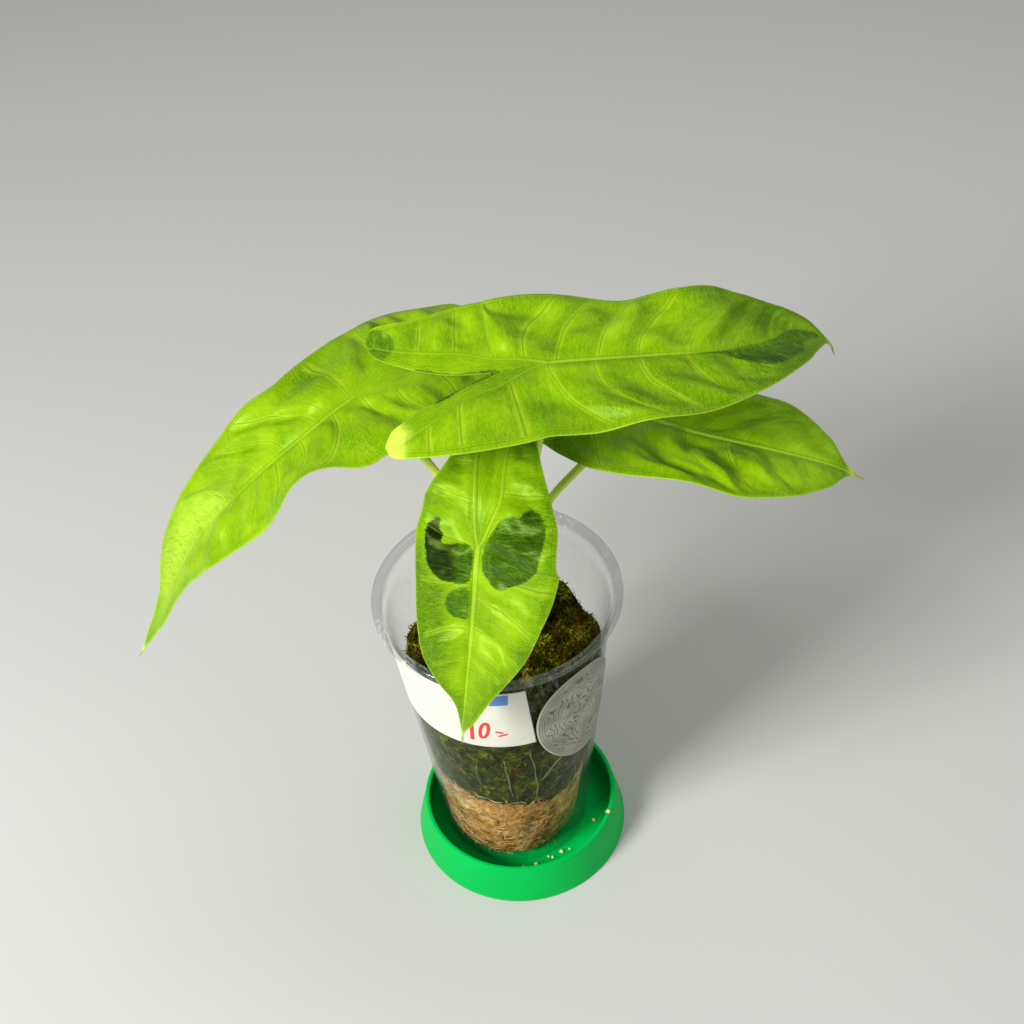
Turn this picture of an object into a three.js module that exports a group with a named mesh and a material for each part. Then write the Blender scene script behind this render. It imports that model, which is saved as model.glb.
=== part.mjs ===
// Potted variegated lava alocasia: four blades on long stalks from one corm, standing in
// moss in a clear tapered cup, which stands in a green cone-sided saucer.
// Millimetres, +Z up. The origin is the centre of the saucer's underside.

import * as THREE from 'three';

// Saucer

const saucerFootRadius = 44.3;
const saucerTopRadius = 40.3;
const saucerHeight = 17.6;
const saucerWall = 1.8;
const saucerFloor = 3;
const saucerFlare = 1.4;

// Cup, standing a little off the saucer's centre

const cupX = -1.8;
const cupY = 3.6;
const restGap = 0.3;
const cupFootZ = saucerFloor + restGap;
const cupFootRadius = 30;
const cupRimZ = 139;
const cupRimRadius = 47.5;
const cupRimWidth = 3;
const cupRimDepth = 2.8;
const cupWall = 0.8;
const cupBaseRise = 2.4;
const cupStepZ = 131;
const cupStepRadius = 43;
const cupStepOut = 1.4;

// Filling

const fillGap = 0.35;
const fillBaseZ = cupFootZ + cupBaseRise + cupWall + fillGap;
const layerMeanZ = 47;
const layerTilt = 5.5;
const layerLowAngle = -0.35;
const layerRipple = 1.4;
const mossTopZ = 105;
const mossLump = 2.2;
const mossBank = 3.5;
const mossBankAngle = 0.9;
const hollowDepth = 3.6;
const hollowTopZ = 60;

// Corm, in its own hole in the moss

const cormX = 0;
const cormY = 3;
const cormFootZ = 80;
const cormTopZ = 111;
const cormRadius = 8;
const cormGap = 0.35;

// Blades and their stalks

const bladeThickness = 0.8;
const ribDepth = 1.3;
const ribHalfWidth = 1.6;
const ribLead = 8;
const stalkGap = 0.35;
const stalkSides = 8;
const stalkSteps = 22;
const stalkFootZ = cormTopZ + 0.3;

// Paper label and round sticker, both on the outside of the cup

const skinThickness = 0.5;
const skinGap = 0.15;

const material = (name, color, roughness) => {
  const finish = new THREE.MeshStandardMaterial({ color, roughness, metalness: 0 });
  finish.name = name;
  return finish;
};

const greenPlastic = material('green_plastic', 0x0fae4e, 0.55);
const clearPlastic = material('clear_plastic', 0xdfe6e4, 0.12);
const tanMoss = material('tan_sphagnum', 0xb08a4e, 0.95);
const darkMoss = material('dark_moss', 0x3f471d, 0.95);
const cormSkin = material('corm_skin', 0x6b4a2a, 0.8);
const stalkGreen = material('stalk_green', 0xa7c04c, 0.5);
const bladeGreen = material('blade_green', 0x9ccb16, 0.45);
const labelPaper = material('label_paper', 0xf2f2ea, 0.7);
const stickerFilm = material('sticker_film', 0xb9bab4, 0.5);

const plant = new THREE.Group();

const addPart = (name, geometry, finish, parent = plant) => {
  const mesh = new THREE.Mesh(geometry, finish);
  mesh.name = name;
  parent.add(mesh);
  return mesh;
};

// A smooth value between the rows [x, y] of a table, held level past its ends.
const smoothAt = (rows, x) => {
  const last = rows.length - 1;
  if (x <= rows[0][0]) {
    return rows[0][1];
  }
  if (x >= rows[last][0]) {
    return rows[last][1];
  }
  let i = 0;
  while (rows[i + 1][0] < x) {
    i += 1;
  }
  const slope = (a, b) => (rows[b][1] - rows[a][1]) / (rows[b][0] - rows[a][0]);
  const before = slope(Math.max(i - 1, 0), i + 1);
  const after = slope(i, Math.min(i + 2, last));
  const span = rows[i + 1][0] - rows[i][0];
  const t = (x - rows[i][0]) / span;
  const t2 = t * t;
  const t3 = t2 * t;
  return rows[i][1] * (2 * t3 - 3 * t2 + 1)
    + before * span * (t3 - 2 * t2 + t)
    + rows[i + 1][1] * (3 * t2 - 2 * t3)
    + after * span * (t3 - t2);
};

const geometryOf = (points, faces) => {
  const geometry = new THREE.BufferGeometry();
  const flat = points.flatMap((p) => [p.x, p.y, p.z]);
  geometry.setAttribute('position', new THREE.Float32BufferAttribute(flat, 3));
  geometry.setIndex(faces);
  geometry.computeVertexNormals();
  return geometry;
};

// A closed body from level rings of points, first to last, with a pole at either end.
const stackRings = (rings, firstPole, lastPole) => {
  const count = rings[0].length;
  const points = [firstPole, ...rings.flat(), lastPole];
  const faces = [];
  const at = (ring, i) => 1 + ring * count + (i % count);
  const lastRing = rings.length - 1;
  for (let i = 0; i < count; i += 1) {
    faces.push(0, at(0, i + 1), at(0, i));
    faces.push(points.length - 1, at(lastRing, i), at(lastRing, i + 1));
    for (let r = 0; r < lastRing; r += 1) {
      faces.push(at(r, i), at(r, i + 1), at(r + 1, i + 1));
      faces.push(at(r, i), at(r + 1, i + 1), at(r + 1, i));
    }
  }
  return geometryOf(points, faces);
};

// A turned body about the vertical axis from [radius, height] pairs, bottom centre first.
const turned = (profile, segments) => {
  const geometry = new THREE.LatheGeometry(
    profile.map(([radius, height]) => new THREE.Vector2(radius, height)),
    segments,
  );
  geometry.rotateX(Math.PI / 2);
  return geometry;
};

// Saucer: a dish whose side leans out towards its foot.

const makeSaucer = () => turned([
  [0, 0],
  [saucerFootRadius, 0],
  [saucerTopRadius, saucerHeight],
  [saucerTopRadius - saucerWall, saucerHeight],
  [saucerTopRadius - saucerWall + saucerFlare, saucerFloor],
  [0, saucerFloor],
], 56);

// Cup: a thin tapered wall with a raised bottom, a step near the top and a rolled rim.

const wallSlope = (cupStepRadius - cupFootRadius) / (cupStepZ - cupFootZ);
const cupOuterRadius = (z) => cupFootRadius + wallSlope * (z - cupFootZ);
const cupInnerRadius = (z) => cupOuterRadius(z) - cupWall;

const makeCup = () => {
  const baseZ = cupFootZ + cupBaseRise;
  const stepOuter = cupStepRadius + cupStepOut;
  const rimFootZ = cupRimZ - cupRimDepth;
  const rimInner = cupRimRadius - cupRimWidth;
  return turned([
    [0, baseZ],
    [cupFootRadius - 3.2, baseZ],
    [cupFootRadius - 2.6, cupFootZ],
    [cupFootRadius, cupFootZ],
    [cupStepRadius, cupStepZ],
    [stepOuter, cupStepZ + 1.2],
    [stepOuter + 0.4, rimFootZ],
    [cupRimRadius - 0.3, rimFootZ],
    [cupRimRadius, rimFootZ + 0.5],
    [cupRimRadius, cupRimZ - 0.7],
    [cupRimRadius - 0.7, cupRimZ],
    [rimInner + 0.6, cupRimZ],
    [rimInner - 0.4, cupRimZ - 0.8],
    [stepOuter - cupWall, cupStepZ + 1.8],
    [cupStepRadius - cupWall, cupStepZ],
    [cupInnerRadius(baseZ + cupWall), baseZ + cupWall],
    [0, baseZ + cupWall],
  ], 56);
};

// Filling: a pale layer below and the moss above it, parted by a tilted wavy face. Angles
// are about the cup's axis, and share is the part of the way from the axis to the wall.

const fillSegments = 44;

const layerZ = (angle, share) => layerMeanZ
  - share * layerTilt * Math.cos(angle - layerLowAngle)
  + share * layerRipple * Math.sin(3 * angle + 1);

// The filling stands off the wall low down on one side, where it has shrunk.
const hollowAt = (angle, z) => {
  const facing = Math.max(0, Math.cos(angle - layerLowAngle));
  const low = Math.max(0, (hollowTopZ - z) / hollowTopZ);
  return hollowDepth * facing ** 2 * Math.sqrt(low);
};

const fillPoint = (angle, share, z) => {
  const radius = share * (cupInnerRadius(z) - fillGap - hollowAt(angle, z));
  return new THREE.Vector3(radius * Math.cos(angle), radius * Math.sin(angle), z);
};

const fillRing = (share, heightAt) => {
  const ring = [];
  for (let i = 0; i < fillSegments; i += 1) {
    const angle = (i / fillSegments) * Math.PI * 2;
    ring.push(fillPoint(angle, share, heightAt(angle)));
  }
  return ring;
};

const makePaleLayer = () => {
  const rise = (part) => (angle) => fillBaseZ + part * (layerZ(angle, 1) - fillBaseZ);
  const rings = [
    fillRing(0.55, () => fillBaseZ),
    fillRing(1, () => fillBaseZ),
    fillRing(1, rise(0.33)),
    fillRing(1, rise(0.67)),
    fillRing(1, rise(1)),
    fillRing(0.55, (angle) => layerZ(angle, 0.55)),
  ];
  return stackRings(
    rings,
    new THREE.Vector3(0, 0, fillBaseZ),
    new THREE.Vector3(0, 0, layerMeanZ),
  );
};

const mossHeight = (angle, share) => mossTopZ
  + mossLump * Math.sin(5 * angle + 2) * share
  + mossLump * 0.8 * Math.sin(9 * angle + 7 * share)
  + mossBank * share * Math.max(0, Math.cos(angle - mossBankAngle)) ** 3;

const makeMossLayer = () => {
  const lift = restGap;
  const wall = (part) => (angle) => {
    const low = layerZ(angle, 1) + lift;
    return low + part * (mossHeight(angle, 1) - low);
  };
  const rings = [
    fillRing(0.55, (angle) => layerZ(angle, 0.55) + lift),
    fillRing(1, wall(0)),
    fillRing(1, wall(0.3)),
    fillRing(1, wall(0.65)),
    fillRing(1, wall(1)),
  ];
  for (const share of [0.88, 0.72, 0.55, 0.4]) {
    rings.push(fillRing(share, (angle) => mossHeight(angle, share)));
  }
  const holeRing = (z) => {
    const ring = [];
    for (let i = 0; i < fillSegments; i += 1) {
      const angle = (i / fillSegments) * Math.PI * 2;
      const radius = cormRadius + cormGap;
      ring.push(new THREE.Vector3(
        cormX - cupX + radius * Math.cos(angle),
        cormY - cupY + radius * Math.sin(angle),
        z(angle),
      ));
    }
    return ring;
  };
  rings.push(holeRing((angle) => mossHeight(angle, 0.2)));
  rings.push(holeRing(() => cormFootZ - cormGap));
  return stackRings(
    rings,
    new THREE.Vector3(0, 0, layerMeanZ + lift),
    new THREE.Vector3(cormX - cupX, cormY - cupY, cormFootZ - cormGap),
  );
};

// Corm: a squat upright body whose flat crown carries the feet of the stalks.

const makeCorm = () => turned([
  [0, cormFootZ],
  [cormRadius * 0.6, cormFootZ],
  [cormRadius, cormFootZ + 8],
  [cormRadius, cormTopZ - 5],
  [cormRadius * 0.92, cormTopZ],
  [0, cormTopZ],
], 24);

// Blades. Each is laid out along its spine: u runs along the midrib, 0 at the stalk and
// growing to the tip, and v runs out to either side, left positive. Behind the stalk the
// spine goes on between the two back lobes. Outer and inner margins are rows of [u, v];
// rise is how far the blade stands up from its fold, 30 mm out from the midrib.

const risePlace = 30;

const blades = {
  top: {
    spine: [
      [-32, 4, 240], [-14, 1, 244], [4, 0, 246], [22, 2, 247], [55, -1, 249],
      [85, 1, 247], [107, 10, 242], [117, 13, 237], [120, 13, 231],
    ],
    stalkAt: 3,
    sinus: -18,
    roll: [[-60, -7], [100, -7]],
    left: {
      fold: 8,
      rise: [
        [-60, 3], [-35, 1], [-15, -1], [5, -3], [25, -6], [45, 0], [62, 1], [80, 0], [100, -2],
      ],
      outer: [
        [-64, 20], [-62.5, 23.5], [-58, 25], [-45, 26], [-25, 30], [-5, 31.5], [13, 29],
        [38, 27], [55, 27], [68, 26], [80, 21.5], [88, 14.5], [95, 8], [100, 3], [106, 0.5],
      ],
      inner: [[-64, 20], [-62, 15], [-57, 11], [-50, 7.5], [-43, 4.5], [-33, 1.5], [-18, 0]],
    },
    right: {
      fold: 10,
      rise: [
        [-60, -8], [-40, -6], [-10, -5], [15, -6], [32, -2], [48, -4], [62, -3], [80, -4],
      ],
      outer: [
        [-52, 26], [-50, 29.5], [-46, 31.5], [-31, 33], [-12, 32.5], [10, 32], [25, 32],
        [40, 30], [56, 25.5], [71, 17.5], [85, 11], [97, 3], [101, 1.5], [106, 0.5],
      ],
      inner: [[-52, 26], [-50, 21], [-45, 17], [-40, 13], [-34, 9.5], [-26, 4], [-18, 0]],
    },
  },
  left: {
    spine: [
      [4, 57, 220], [-22, 35, 225], [-46, 22, 222], [-65, 12, 214], [-84, 8, 200],
      [-106, 6, 178], [-125, 4, 148], [-139, 3, 122], [-142, 3, 119],
    ],
    stalkAt: 2,
    sinus: -24,
    roll: [[-60, 0], [0, 0], [50, 8], [100, 20], [140, 25]],
    left: {
      fold: 10,
      rise: [
        [-60, -8], [-20, -6], [5, -5], [15, -3], [25, 7], [36, 0], [46, -5], [60, -5],
        [80, -2], [100, -4],
      ],
      outer: [
        [-62, 16], [-60, 23], [-54, 28.5], [-42, 32], [-20, 33], [5, 32], [13, 30.5],
        [19, 25.5], [23, 25], [27, 27.5], [32, 29], [38, 28], [46, 25.5], [60, 23],
        [72, 20], [84, 15], [97, 9.5], [108, 7.5], [119, 7], [133, 3.5], [143, 1.2], [147, 0.5],
      ],
      inner: [[-62, 16], [-59, 11.5], [-53, 7.5], [-44, 4], [-34, 1.5], [-24, 0]],
    },
    right: {
      fold: 6,
      rise: [
        [-60, -6], [-40, -4], [-10, -4], [15, -3], [30, 0], [45, 3], [65, 2], [85, 1], [105, 0],
      ],
      outer: [
        [-66, 21], [-64, 25], [-58, 29.5], [-50, 33], [-40, 34.5], [-10, 34.5], [5, 31],
        [20, 29], [36, 29], [47, 26], [65, 23], [81, 19], [97, 14.5], [104, 11],
        [113, 5], [122, 2.5], [133, 1.5], [143, 1], [147, 0.5],
      ],
      inner: [[-66, 21], [-63, 15], [-57, 10], [-48, 5.5], [-38, 2.5], [-24, 0]],
    },
  },
  right: {
    spine: [
      [22, 38, 200], [35, 29, 205], [48, 20, 208], [72, 4, 209], [97, -6, 207],
      [115, -11, 203], [125, -14, 199], [128, -15, 198],
    ],
    stalkAt: 2,
    sinus: -20,
    roll: [[-60, 0], [50, 0], [90, 6]],
    left: {
      fold: 10,
      rise: [[-60, -8], [0, -6], [40, -4], [62, -2], [90, -4]],
      outer: [
        [-56, 18], [-54, 22.5], [-48, 26.5], [-38, 29], [-15, 30], [10, 29], [35, 26.5],
        [49, 24.5], [56, 23.5], [63, 21.5], [69, 18], [74, 13.5], [78.5, 8.5], [82.5, 4.5],
        [87, 1.2], [91, 0.5],
      ],
      inner: [[-56, 18], [-54, 14], [-49, 10], [-40, 5], [-30, 2], [-20, 0]],
    },
    right: {
      fold: 12,
      rise: [[-60, -8], [-30, -7], [0, -8], [16, -5], [34, 0], [50, -3], [66, -4], [90, -6]],
      outer: [
        [-54, 14], [-52, 18], [-46, 21], [-35, 22.5], [-22, 24], [-10, 28], [4, 30.5],
        [25, 31.5], [46, 30.5], [55, 28], [66, 22.5], [72, 17.5], [78, 12], [81, 7.5],
        [84.5, 2.5], [88, 1.2], [91, 0.5],
      ],
      inner: [[-54, 15], [-51, 10], [-44, 6], [-36, 3], [-28, 1], [-20, 0]],
    },
  },
  front: {
    spine: [
      [5, 8, 220], [3, -6, 218], [-1, -23, 211], [-6, -32, 198], [-9, -38, 179],
      [-12, -44, 160], [-16, -52, 138], [-18, -54, 124], [-18.5, -54, 121.5],
    ],
    stalkAt: 3,
    sinus: -38,
    roll: [[-60, -6], [80, -6]],
    left: {
      fold: 14,
      rise: [[-60, -8], [-20, -6], [0, -5], [20, -4], [40, -5], [80, -5]],
      outer: [
        [-48, 8], [-46.5, 11], [-43, 13], [-36, 14.5], [-24, 19], [-17, 23.5], [-12, 29],
        [-4, 33], [6, 32.5], [18, 29.5], [33, 24.5], [42, 20], [50, 15], [58, 10],
        [69, 4.5], [76, 1.5], [80, 0.5],
      ],
      inner: [[-48, 8], [-46, 4.5], [-43, 2], [-38, 0]],
    },
    right: {
      fold: 14,
      rise: [[-60, -8], [-20, -6], [20, -6], [40, -5], [80, -5]],
      outer: [
        [-48, 7], [-46.5, 10], [-42, 13], [-33, 15.5], [-20, 21.5], [-8, 24.5], [8, 23.5],
        [25, 22.5], [38, 20.5], [46, 18], [52, 14], [57, 9.5], [61, 5], [66, 2.5], [74, 1.6],
        [80, 0.5],
      ],
      inner: [[-48, 7], [-46, 4], [-43, 2], [-38, 0]],
    },
  },
};

const up = new THREE.Vector3(0, 0, 1);
const spineDivisions = 600;

class BladeShape {
  constructor(shape) {
    this.shape = shape;
    const points = shape.spine.map(([x, y, z]) => new THREE.Vector3(x, y, z));
    this.curve = new THREE.CatmullRomCurve3(points, false, 'catmullrom', 0.5);
    this.curve.arcLengthDivisions = spineDivisions;
    this.length = this.curve.getLength();
    const lengths = this.curve.getLengths();
    const index = (shape.stalkAt / (points.length - 1)) * spineDivisions;
    this.behind = lengths[Math.round(index)];
  }

  // Point, sideways and upward directions of the spine at u, going straight past its ends.
  frameAt(u) {
    const along = (u + this.behind) / this.length;
    const share = Math.min(1, Math.max(0, along));
    const tangent = this.curve.getTangentAt(share).normalize();
    const point = this.curve.getPointAt(share);
    point.addScaledVector(tangent, (along - share) * this.length);
    const normal = up.clone().addScaledVector(tangent, -up.dot(tangent)).normalize();
    const side = new THREE.Vector3().crossVectors(normal, tangent);
    const roll = THREE.MathUtils.degToRad(smoothAt(this.shape.roll, u));
    return {
      point,
      side: side.clone().multiplyScalar(Math.cos(roll)).addScaledVector(normal, -Math.sin(roll)),
      normal: normal.multiplyScalar(Math.cos(roll)).addScaledVector(side, Math.sin(roll)),
    };
  }

  at(u, v) {
    const half = v > 0 ? this.shape.left : this.shape.right;
    const frame = this.frameAt(u);
    const fold = THREE.MathUtils.degToRad(half.fold);
    const out = Math.abs(v);
    const height = out * Math.sin(fold) + smoothAt(half.rise, u) * (out / risePlace) ** 2;
    return frame.point
      .addScaledVector(frame.side, v * Math.cos(fold))
      .addScaledVector(frame.normal, height);
  }

  normalAt(u, v) {
    const step = 0.6;
    const along = this.at(u + step, v).sub(this.at(u - step, v));
    const across = this.at(u, v + step).sub(this.at(u, v - step));
    return along.cross(across).normalize();
  }
}

const lobeStations = 8;
const bodyStations = 22;
const cellsAcross = 5;

// Depth of the rib under the midrib: it grows just behind the stalk and thins to the tip.
const ribAt = (u, tip) => {
  if (u < 0) {
    return ribDepth * Math.max(0, 1 + u / ribLead);
  }
  return ribDepth * Math.max(0, 1 - u / tip) ** 0.6;
};

// Stations along a blade's body, closer near the tip, with one at the stalk itself.
const bodyPlaces = (sinus, tip) => {
  const places = [];
  for (let k = 0; k <= bodyStations; k += 1) {
    const even = k / bodyStations;
    const share = (Math.sin((even * Math.PI) / 2) + even) / 2;
    places.push(sinus + (tip - sinus) * share);
  }
  const distances = places.map(Math.abs);
  places[distances.indexOf(Math.min(...distances))] = 0;
  return places;
};

// A blade is a plate of even thickness: rows of cells run from the midrib, or from the
// inner margin of a back lobe, out to the outer margin, alike on both faces.

const makeBlade = (shape) => {
  const form = new BladeShape(shape);
  const tipU = shape.left.outer.at(-1)[0];
  const points = [];
  const faces = [];
  const addPoint = (u, v, rib) => {
    const middle = form.at(u, v);
    const normal = form.normalAt(u, v);
    points.push(middle.clone().addScaledVector(normal, bladeThickness / 2));
    points.push(middle.clone().addScaledVector(normal, -bladeThickness / 2 - rib));
    return points.length - 2;
  };
  const bodyUs = bodyPlaces(shape.sinus, tipU);
  const spinePoints = bodyUs.map((u) => addPoint(u, 0, ribAt(u, tipU)));
  const quad = (a, b, c, d, flip) => {
    if (flip) {
      faces.push(a, c, b, a, d, c);
    } else {
      faces.push(a, b, c, a, c, d);
    }
  };
  const addSide = (half, sign) => {
    const startU = half.outer[0][0] + 0.15;
    const rows = [];
    for (let k = 0; k < lobeStations; k += 1) {
      const u = startU + (shape.sinus - startU) * (k / lobeStations) ** 1.6;
      const inner = smoothAt(half.inner, u);
      const outer = Math.max(smoothAt(half.outer, u), inner + 0.8);
      const row = [];
      for (let j = 0; j <= cellsAcross; j += 1) {
        const v = inner + (outer - inner) * (j / cellsAcross);
        row.push(addPoint(u, sign * v, 0));
      }
      rows.push(row);
    }
    bodyUs.forEach((u, k) => {
      const outer = smoothAt(half.outer, u);
      const rib = Math.min(ribHalfWidth, outer / cellsAcross);
      const row = [spinePoints[k]];
      for (let j = 0; j < cellsAcross; j += 1) {
        const v = rib + (outer - rib) * (j / (cellsAcross - 1));
        row.push(addPoint(u, sign * v, 0));
      }
      rows.push(row);
    });
    const flip = sign < 0;
    const top = (k, j) => rows[k][j];
    const under = (k, j) => rows[k][j] + 1;
    const lastRow = rows.length - 1;
    for (let k = 0; k < lastRow; k += 1) {
      for (let j = 0; j < cellsAcross; j += 1) {
        quad(top(k, j), top(k + 1, j), top(k + 1, j + 1), top(k, j + 1), flip);
        quad(under(k, j), under(k + 1, j), under(k + 1, j + 1), under(k, j + 1), !flip);
      }
      const edge = cellsAcross;
      quad(top(k, edge), top(k + 1, edge), under(k + 1, edge), under(k, edge), flip);
      if (k < lobeStations) {
        quad(top(k, 0), top(k + 1, 0), under(k + 1, 0), under(k, 0), !flip);
      }
    }
    for (let j = 0; j < cellsAcross; j += 1) {
      quad(top(0, j), top(0, j + 1), under(0, j + 1), under(0, j), flip);
      quad(top(lastRow, j), top(lastRow, j + 1), under(lastRow, j + 1), under(lastRow, j), !flip);
    }
  };
  addSide(shape.left, 1);
  addSide(shape.right, -1);
  return geometryOf(points, faces);
};

// Stalks: round, tapering tubes from the corm's crown to just under each blade.

const stalks = {
  top: { foot: [3.2, 6.4], via: [[6, 7.5, 150], [12, 7, 183], [17.5, 5, 210]] },
  left: { foot: [-3.4, 5.6], via: [[-6, 6, 150], [-11, 8, 175], [-18.8, 11, 193], [-32, 16.5, 211]] },
  right: { foot: [4.4, 0.6], via: [[6.5, 2, 140], [11.5, 5, 162], [19.3, 7, 178.5], [31.7, 11, 191]] },
  front: { foot: [-2.2, 0], via: [[-2.5, -4, 145], [-4, -14, 172], [-5.5, -25, 188]] },
};

const stalkFootRadius = 2.5;
const stalkTopRadius = 1.5;

const makeStalk = (stalk, shape) => {
  const form = new BladeShape(shape);
  const normal = form.normalAt(0, 0);
  const under = bladeThickness / 2 + ribDepth + stalkGap;
  const seat = form.at(0, 0).addScaledVector(normal, -under);
  const approach = seat.clone().addScaledVector(normal, -5);
  const curve = new THREE.CatmullRomCurve3([
    new THREE.Vector3(stalk.foot[0], stalk.foot[1], stalkFootZ),
    new THREE.Vector3(stalk.foot[0], stalk.foot[1], stalkFootZ + 6),
    ...stalk.via.map(([x, y, z]) => new THREE.Vector3(x, y, z)),
    approach,
    seat,
  ], false, 'centripetal');
  const frames = curve.computeFrenetFrames(stalkSteps, false);
  const rings = [];
  for (let k = 0; k <= stalkSteps; k += 1) {
    const share = k / stalkSteps;
    const centre = curve.getPointAt(share);
    const radius = stalkTopRadius
      + (stalkFootRadius - stalkTopRadius) * Math.max(0, 1 - share * 2.5) ** 1.5;
    const ring = [];
    for (let i = 0; i < stalkSides; i += 1) {
      const angle = (i / stalkSides) * Math.PI * 2;
      ring.push(centre.clone()
        .addScaledVector(frames.normals[k], radius * Math.cos(angle))
        .addScaledVector(frames.binormals[k], radius * Math.sin(angle)));
    }
    rings.push(ring);
  }
  return stackRings(rings, curve.getPointAt(0), curve.getPointAt(1));
};

// Skins on the cup: a grid of [arc, height] on the wall, drawn round at its mean radius.

const skinPoint = (arc, z, lift) => {
  const radius = cupOuterRadius(z) + skinGap + lift;
  const angle = arc / cupOuterRadius(z);
  return new THREE.Vector3(
    cupX + radius * Math.cos(angle),
    cupY + radius * Math.sin(angle),
    z,
  );
};

// Label: its right edge leans with the cup, its left edge lies round the side.

const labelFootZ = 94.3;
const labelTopZ = 129.8;
const labelRightArc = -51.5;
const labelRightLean = 0.235;
const labelWidth = 66;
const labelColumns = 20;
const labelRows = 4;

const makeLabel = () => {
  const points = [];
  const faces = [];
  const add = (lift) => {
    const rows = [];
    for (let k = 0; k <= labelRows; k += 1) {
      const z = labelFootZ + ((labelTopZ - labelFootZ) * k) / labelRows;
      const right = labelRightArc - (z - labelFootZ) * labelRightLean;
      const row = [];
      for (let i = 0; i <= labelColumns; i += 1) {
        const arc = right - labelWidth + (labelWidth * i) / labelColumns;
        points.push(skinPoint(arc, z, lift));
        row.push(points.length - 1);
      }
      rows.push(row);
    }
    return rows;
  };
  const inside = add(0);
  const outside = add(skinThickness);
  const end = labelColumns;
  const quad = (a, b, c, d) => faces.push(a, b, c, a, c, d);
  for (let k = 0; k < labelRows; k += 1) {
    for (let i = 0; i < labelColumns; i += 1) {
      quad(outside[k][i], outside[k][i + 1], outside[k + 1][i + 1], outside[k + 1][i]);
      quad(inside[k][i], inside[k + 1][i], inside[k + 1][i + 1], inside[k][i + 1]);
    }
    quad(inside[k][0], outside[k][0], outside[k + 1][0], inside[k + 1][0]);
    quad(inside[k][end], inside[k + 1][end], outside[k + 1][end], outside[k][end]);
  }
  const head = labelRows;
  for (let i = 0; i < labelColumns; i += 1) {
    quad(inside[0][i], inside[0][i + 1], outside[0][i + 1], outside[0][i]);
    quad(inside[head][i], outside[head][i], outside[head][i + 1], inside[head][i + 1]);
  }
  return geometryOf(points, faces);
};

// Sticker: an oval, a little higher than wide and leaning to the left.

const stickerArc = -30;
const stickerZ = 98;
const stickerLong = 30;
const stickerShort = 20.3;
const stickerLean = 27;
const stickerSegments = 28;
const stickerRings = [0.25, 0.5, 0.75, 1];

const makeSticker = () => {
  const lean = THREE.MathUtils.degToRad(stickerLean);
  const ringAt = (share, lift) => {
    const ring = [];
    for (let i = 0; i < stickerSegments; i += 1) {
      const angle = (i / stickerSegments) * Math.PI * 2;
      const across = share * stickerShort * Math.cos(angle);
      const along = share * stickerLong * Math.sin(angle);
      ring.push(skinPoint(
        stickerArc + across * Math.cos(lean) - along * Math.sin(lean),
        stickerZ + across * Math.sin(lean) + along * Math.cos(lean),
        lift,
      ));
    }
    return ring;
  };
  const rings = [
    ...stickerRings.map((share) => ringAt(share, 0)),
    ...stickerRings.toReversed().map((share) => ringAt(share, skinThickness)),
  ];
  return stackRings(
    rings,
    skinPoint(stickerArc, stickerZ, 0),
    skinPoint(stickerArc, stickerZ, skinThickness),
  );
};

// Assembly

addPart('saucer', makeSaucer(), greenPlastic);

const cupGroup = new THREE.Group();
cupGroup.position.set(cupX, cupY, 0);
plant.add(cupGroup);
addPart('cup', makeCup(), clearPlastic, cupGroup);
addPart('pale_layer', makePaleLayer(), tanMoss, cupGroup);
addPart('moss_layer', makeMossLayer(), darkMoss, cupGroup);

addPart('label', makeLabel(), labelPaper);
addPart('sticker', makeSticker(), stickerFilm);

const corm = addPart('corm', makeCorm(), cormSkin);
corm.position.set(cormX, cormY, 0);

for (const [place, shape] of Object.entries(blades)) {
  addPart(`blade_${place}`, makeBlade(shape), bladeGreen);
  addPart(`stalk_${place}`, makeStalk(stalks[place], shape), stalkGreen);
}

export default plant;
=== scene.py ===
"""Potted variegated lava alocasia, dressed around its solids.

Four arrow-shaped blades on long stalks grow from a corm in moss, in a clear tapered cup that
stands in a green saucer. Tables and sizes are in millimetres, meshes in metres, +Z up.
"""

import math

import bpy
import numpy as np
from mathutils import Matrix


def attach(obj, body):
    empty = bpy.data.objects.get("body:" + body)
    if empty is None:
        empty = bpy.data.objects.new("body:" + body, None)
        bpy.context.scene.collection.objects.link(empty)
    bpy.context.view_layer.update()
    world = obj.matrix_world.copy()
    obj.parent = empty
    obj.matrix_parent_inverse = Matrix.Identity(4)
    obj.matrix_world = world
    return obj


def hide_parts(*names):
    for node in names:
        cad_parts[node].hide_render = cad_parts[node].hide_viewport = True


bl_info = {
    "name": "Potted alocasia",
    "version": (1, 0, 0),
    "blender": (4, 5, 0),
    "location": "View3D > Sidebar > Alocasia",
    "description": "Dresses a potted alocasia around its solids",
    "category": "Object",
}

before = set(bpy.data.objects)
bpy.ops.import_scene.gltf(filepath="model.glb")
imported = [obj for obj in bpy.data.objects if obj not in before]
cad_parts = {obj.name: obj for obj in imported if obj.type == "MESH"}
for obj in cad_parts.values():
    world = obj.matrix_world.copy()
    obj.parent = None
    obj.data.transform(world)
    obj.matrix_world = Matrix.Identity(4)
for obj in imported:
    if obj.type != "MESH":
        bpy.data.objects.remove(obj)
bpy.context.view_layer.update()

MM = 0.001


# Sizes shared with the solids

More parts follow.
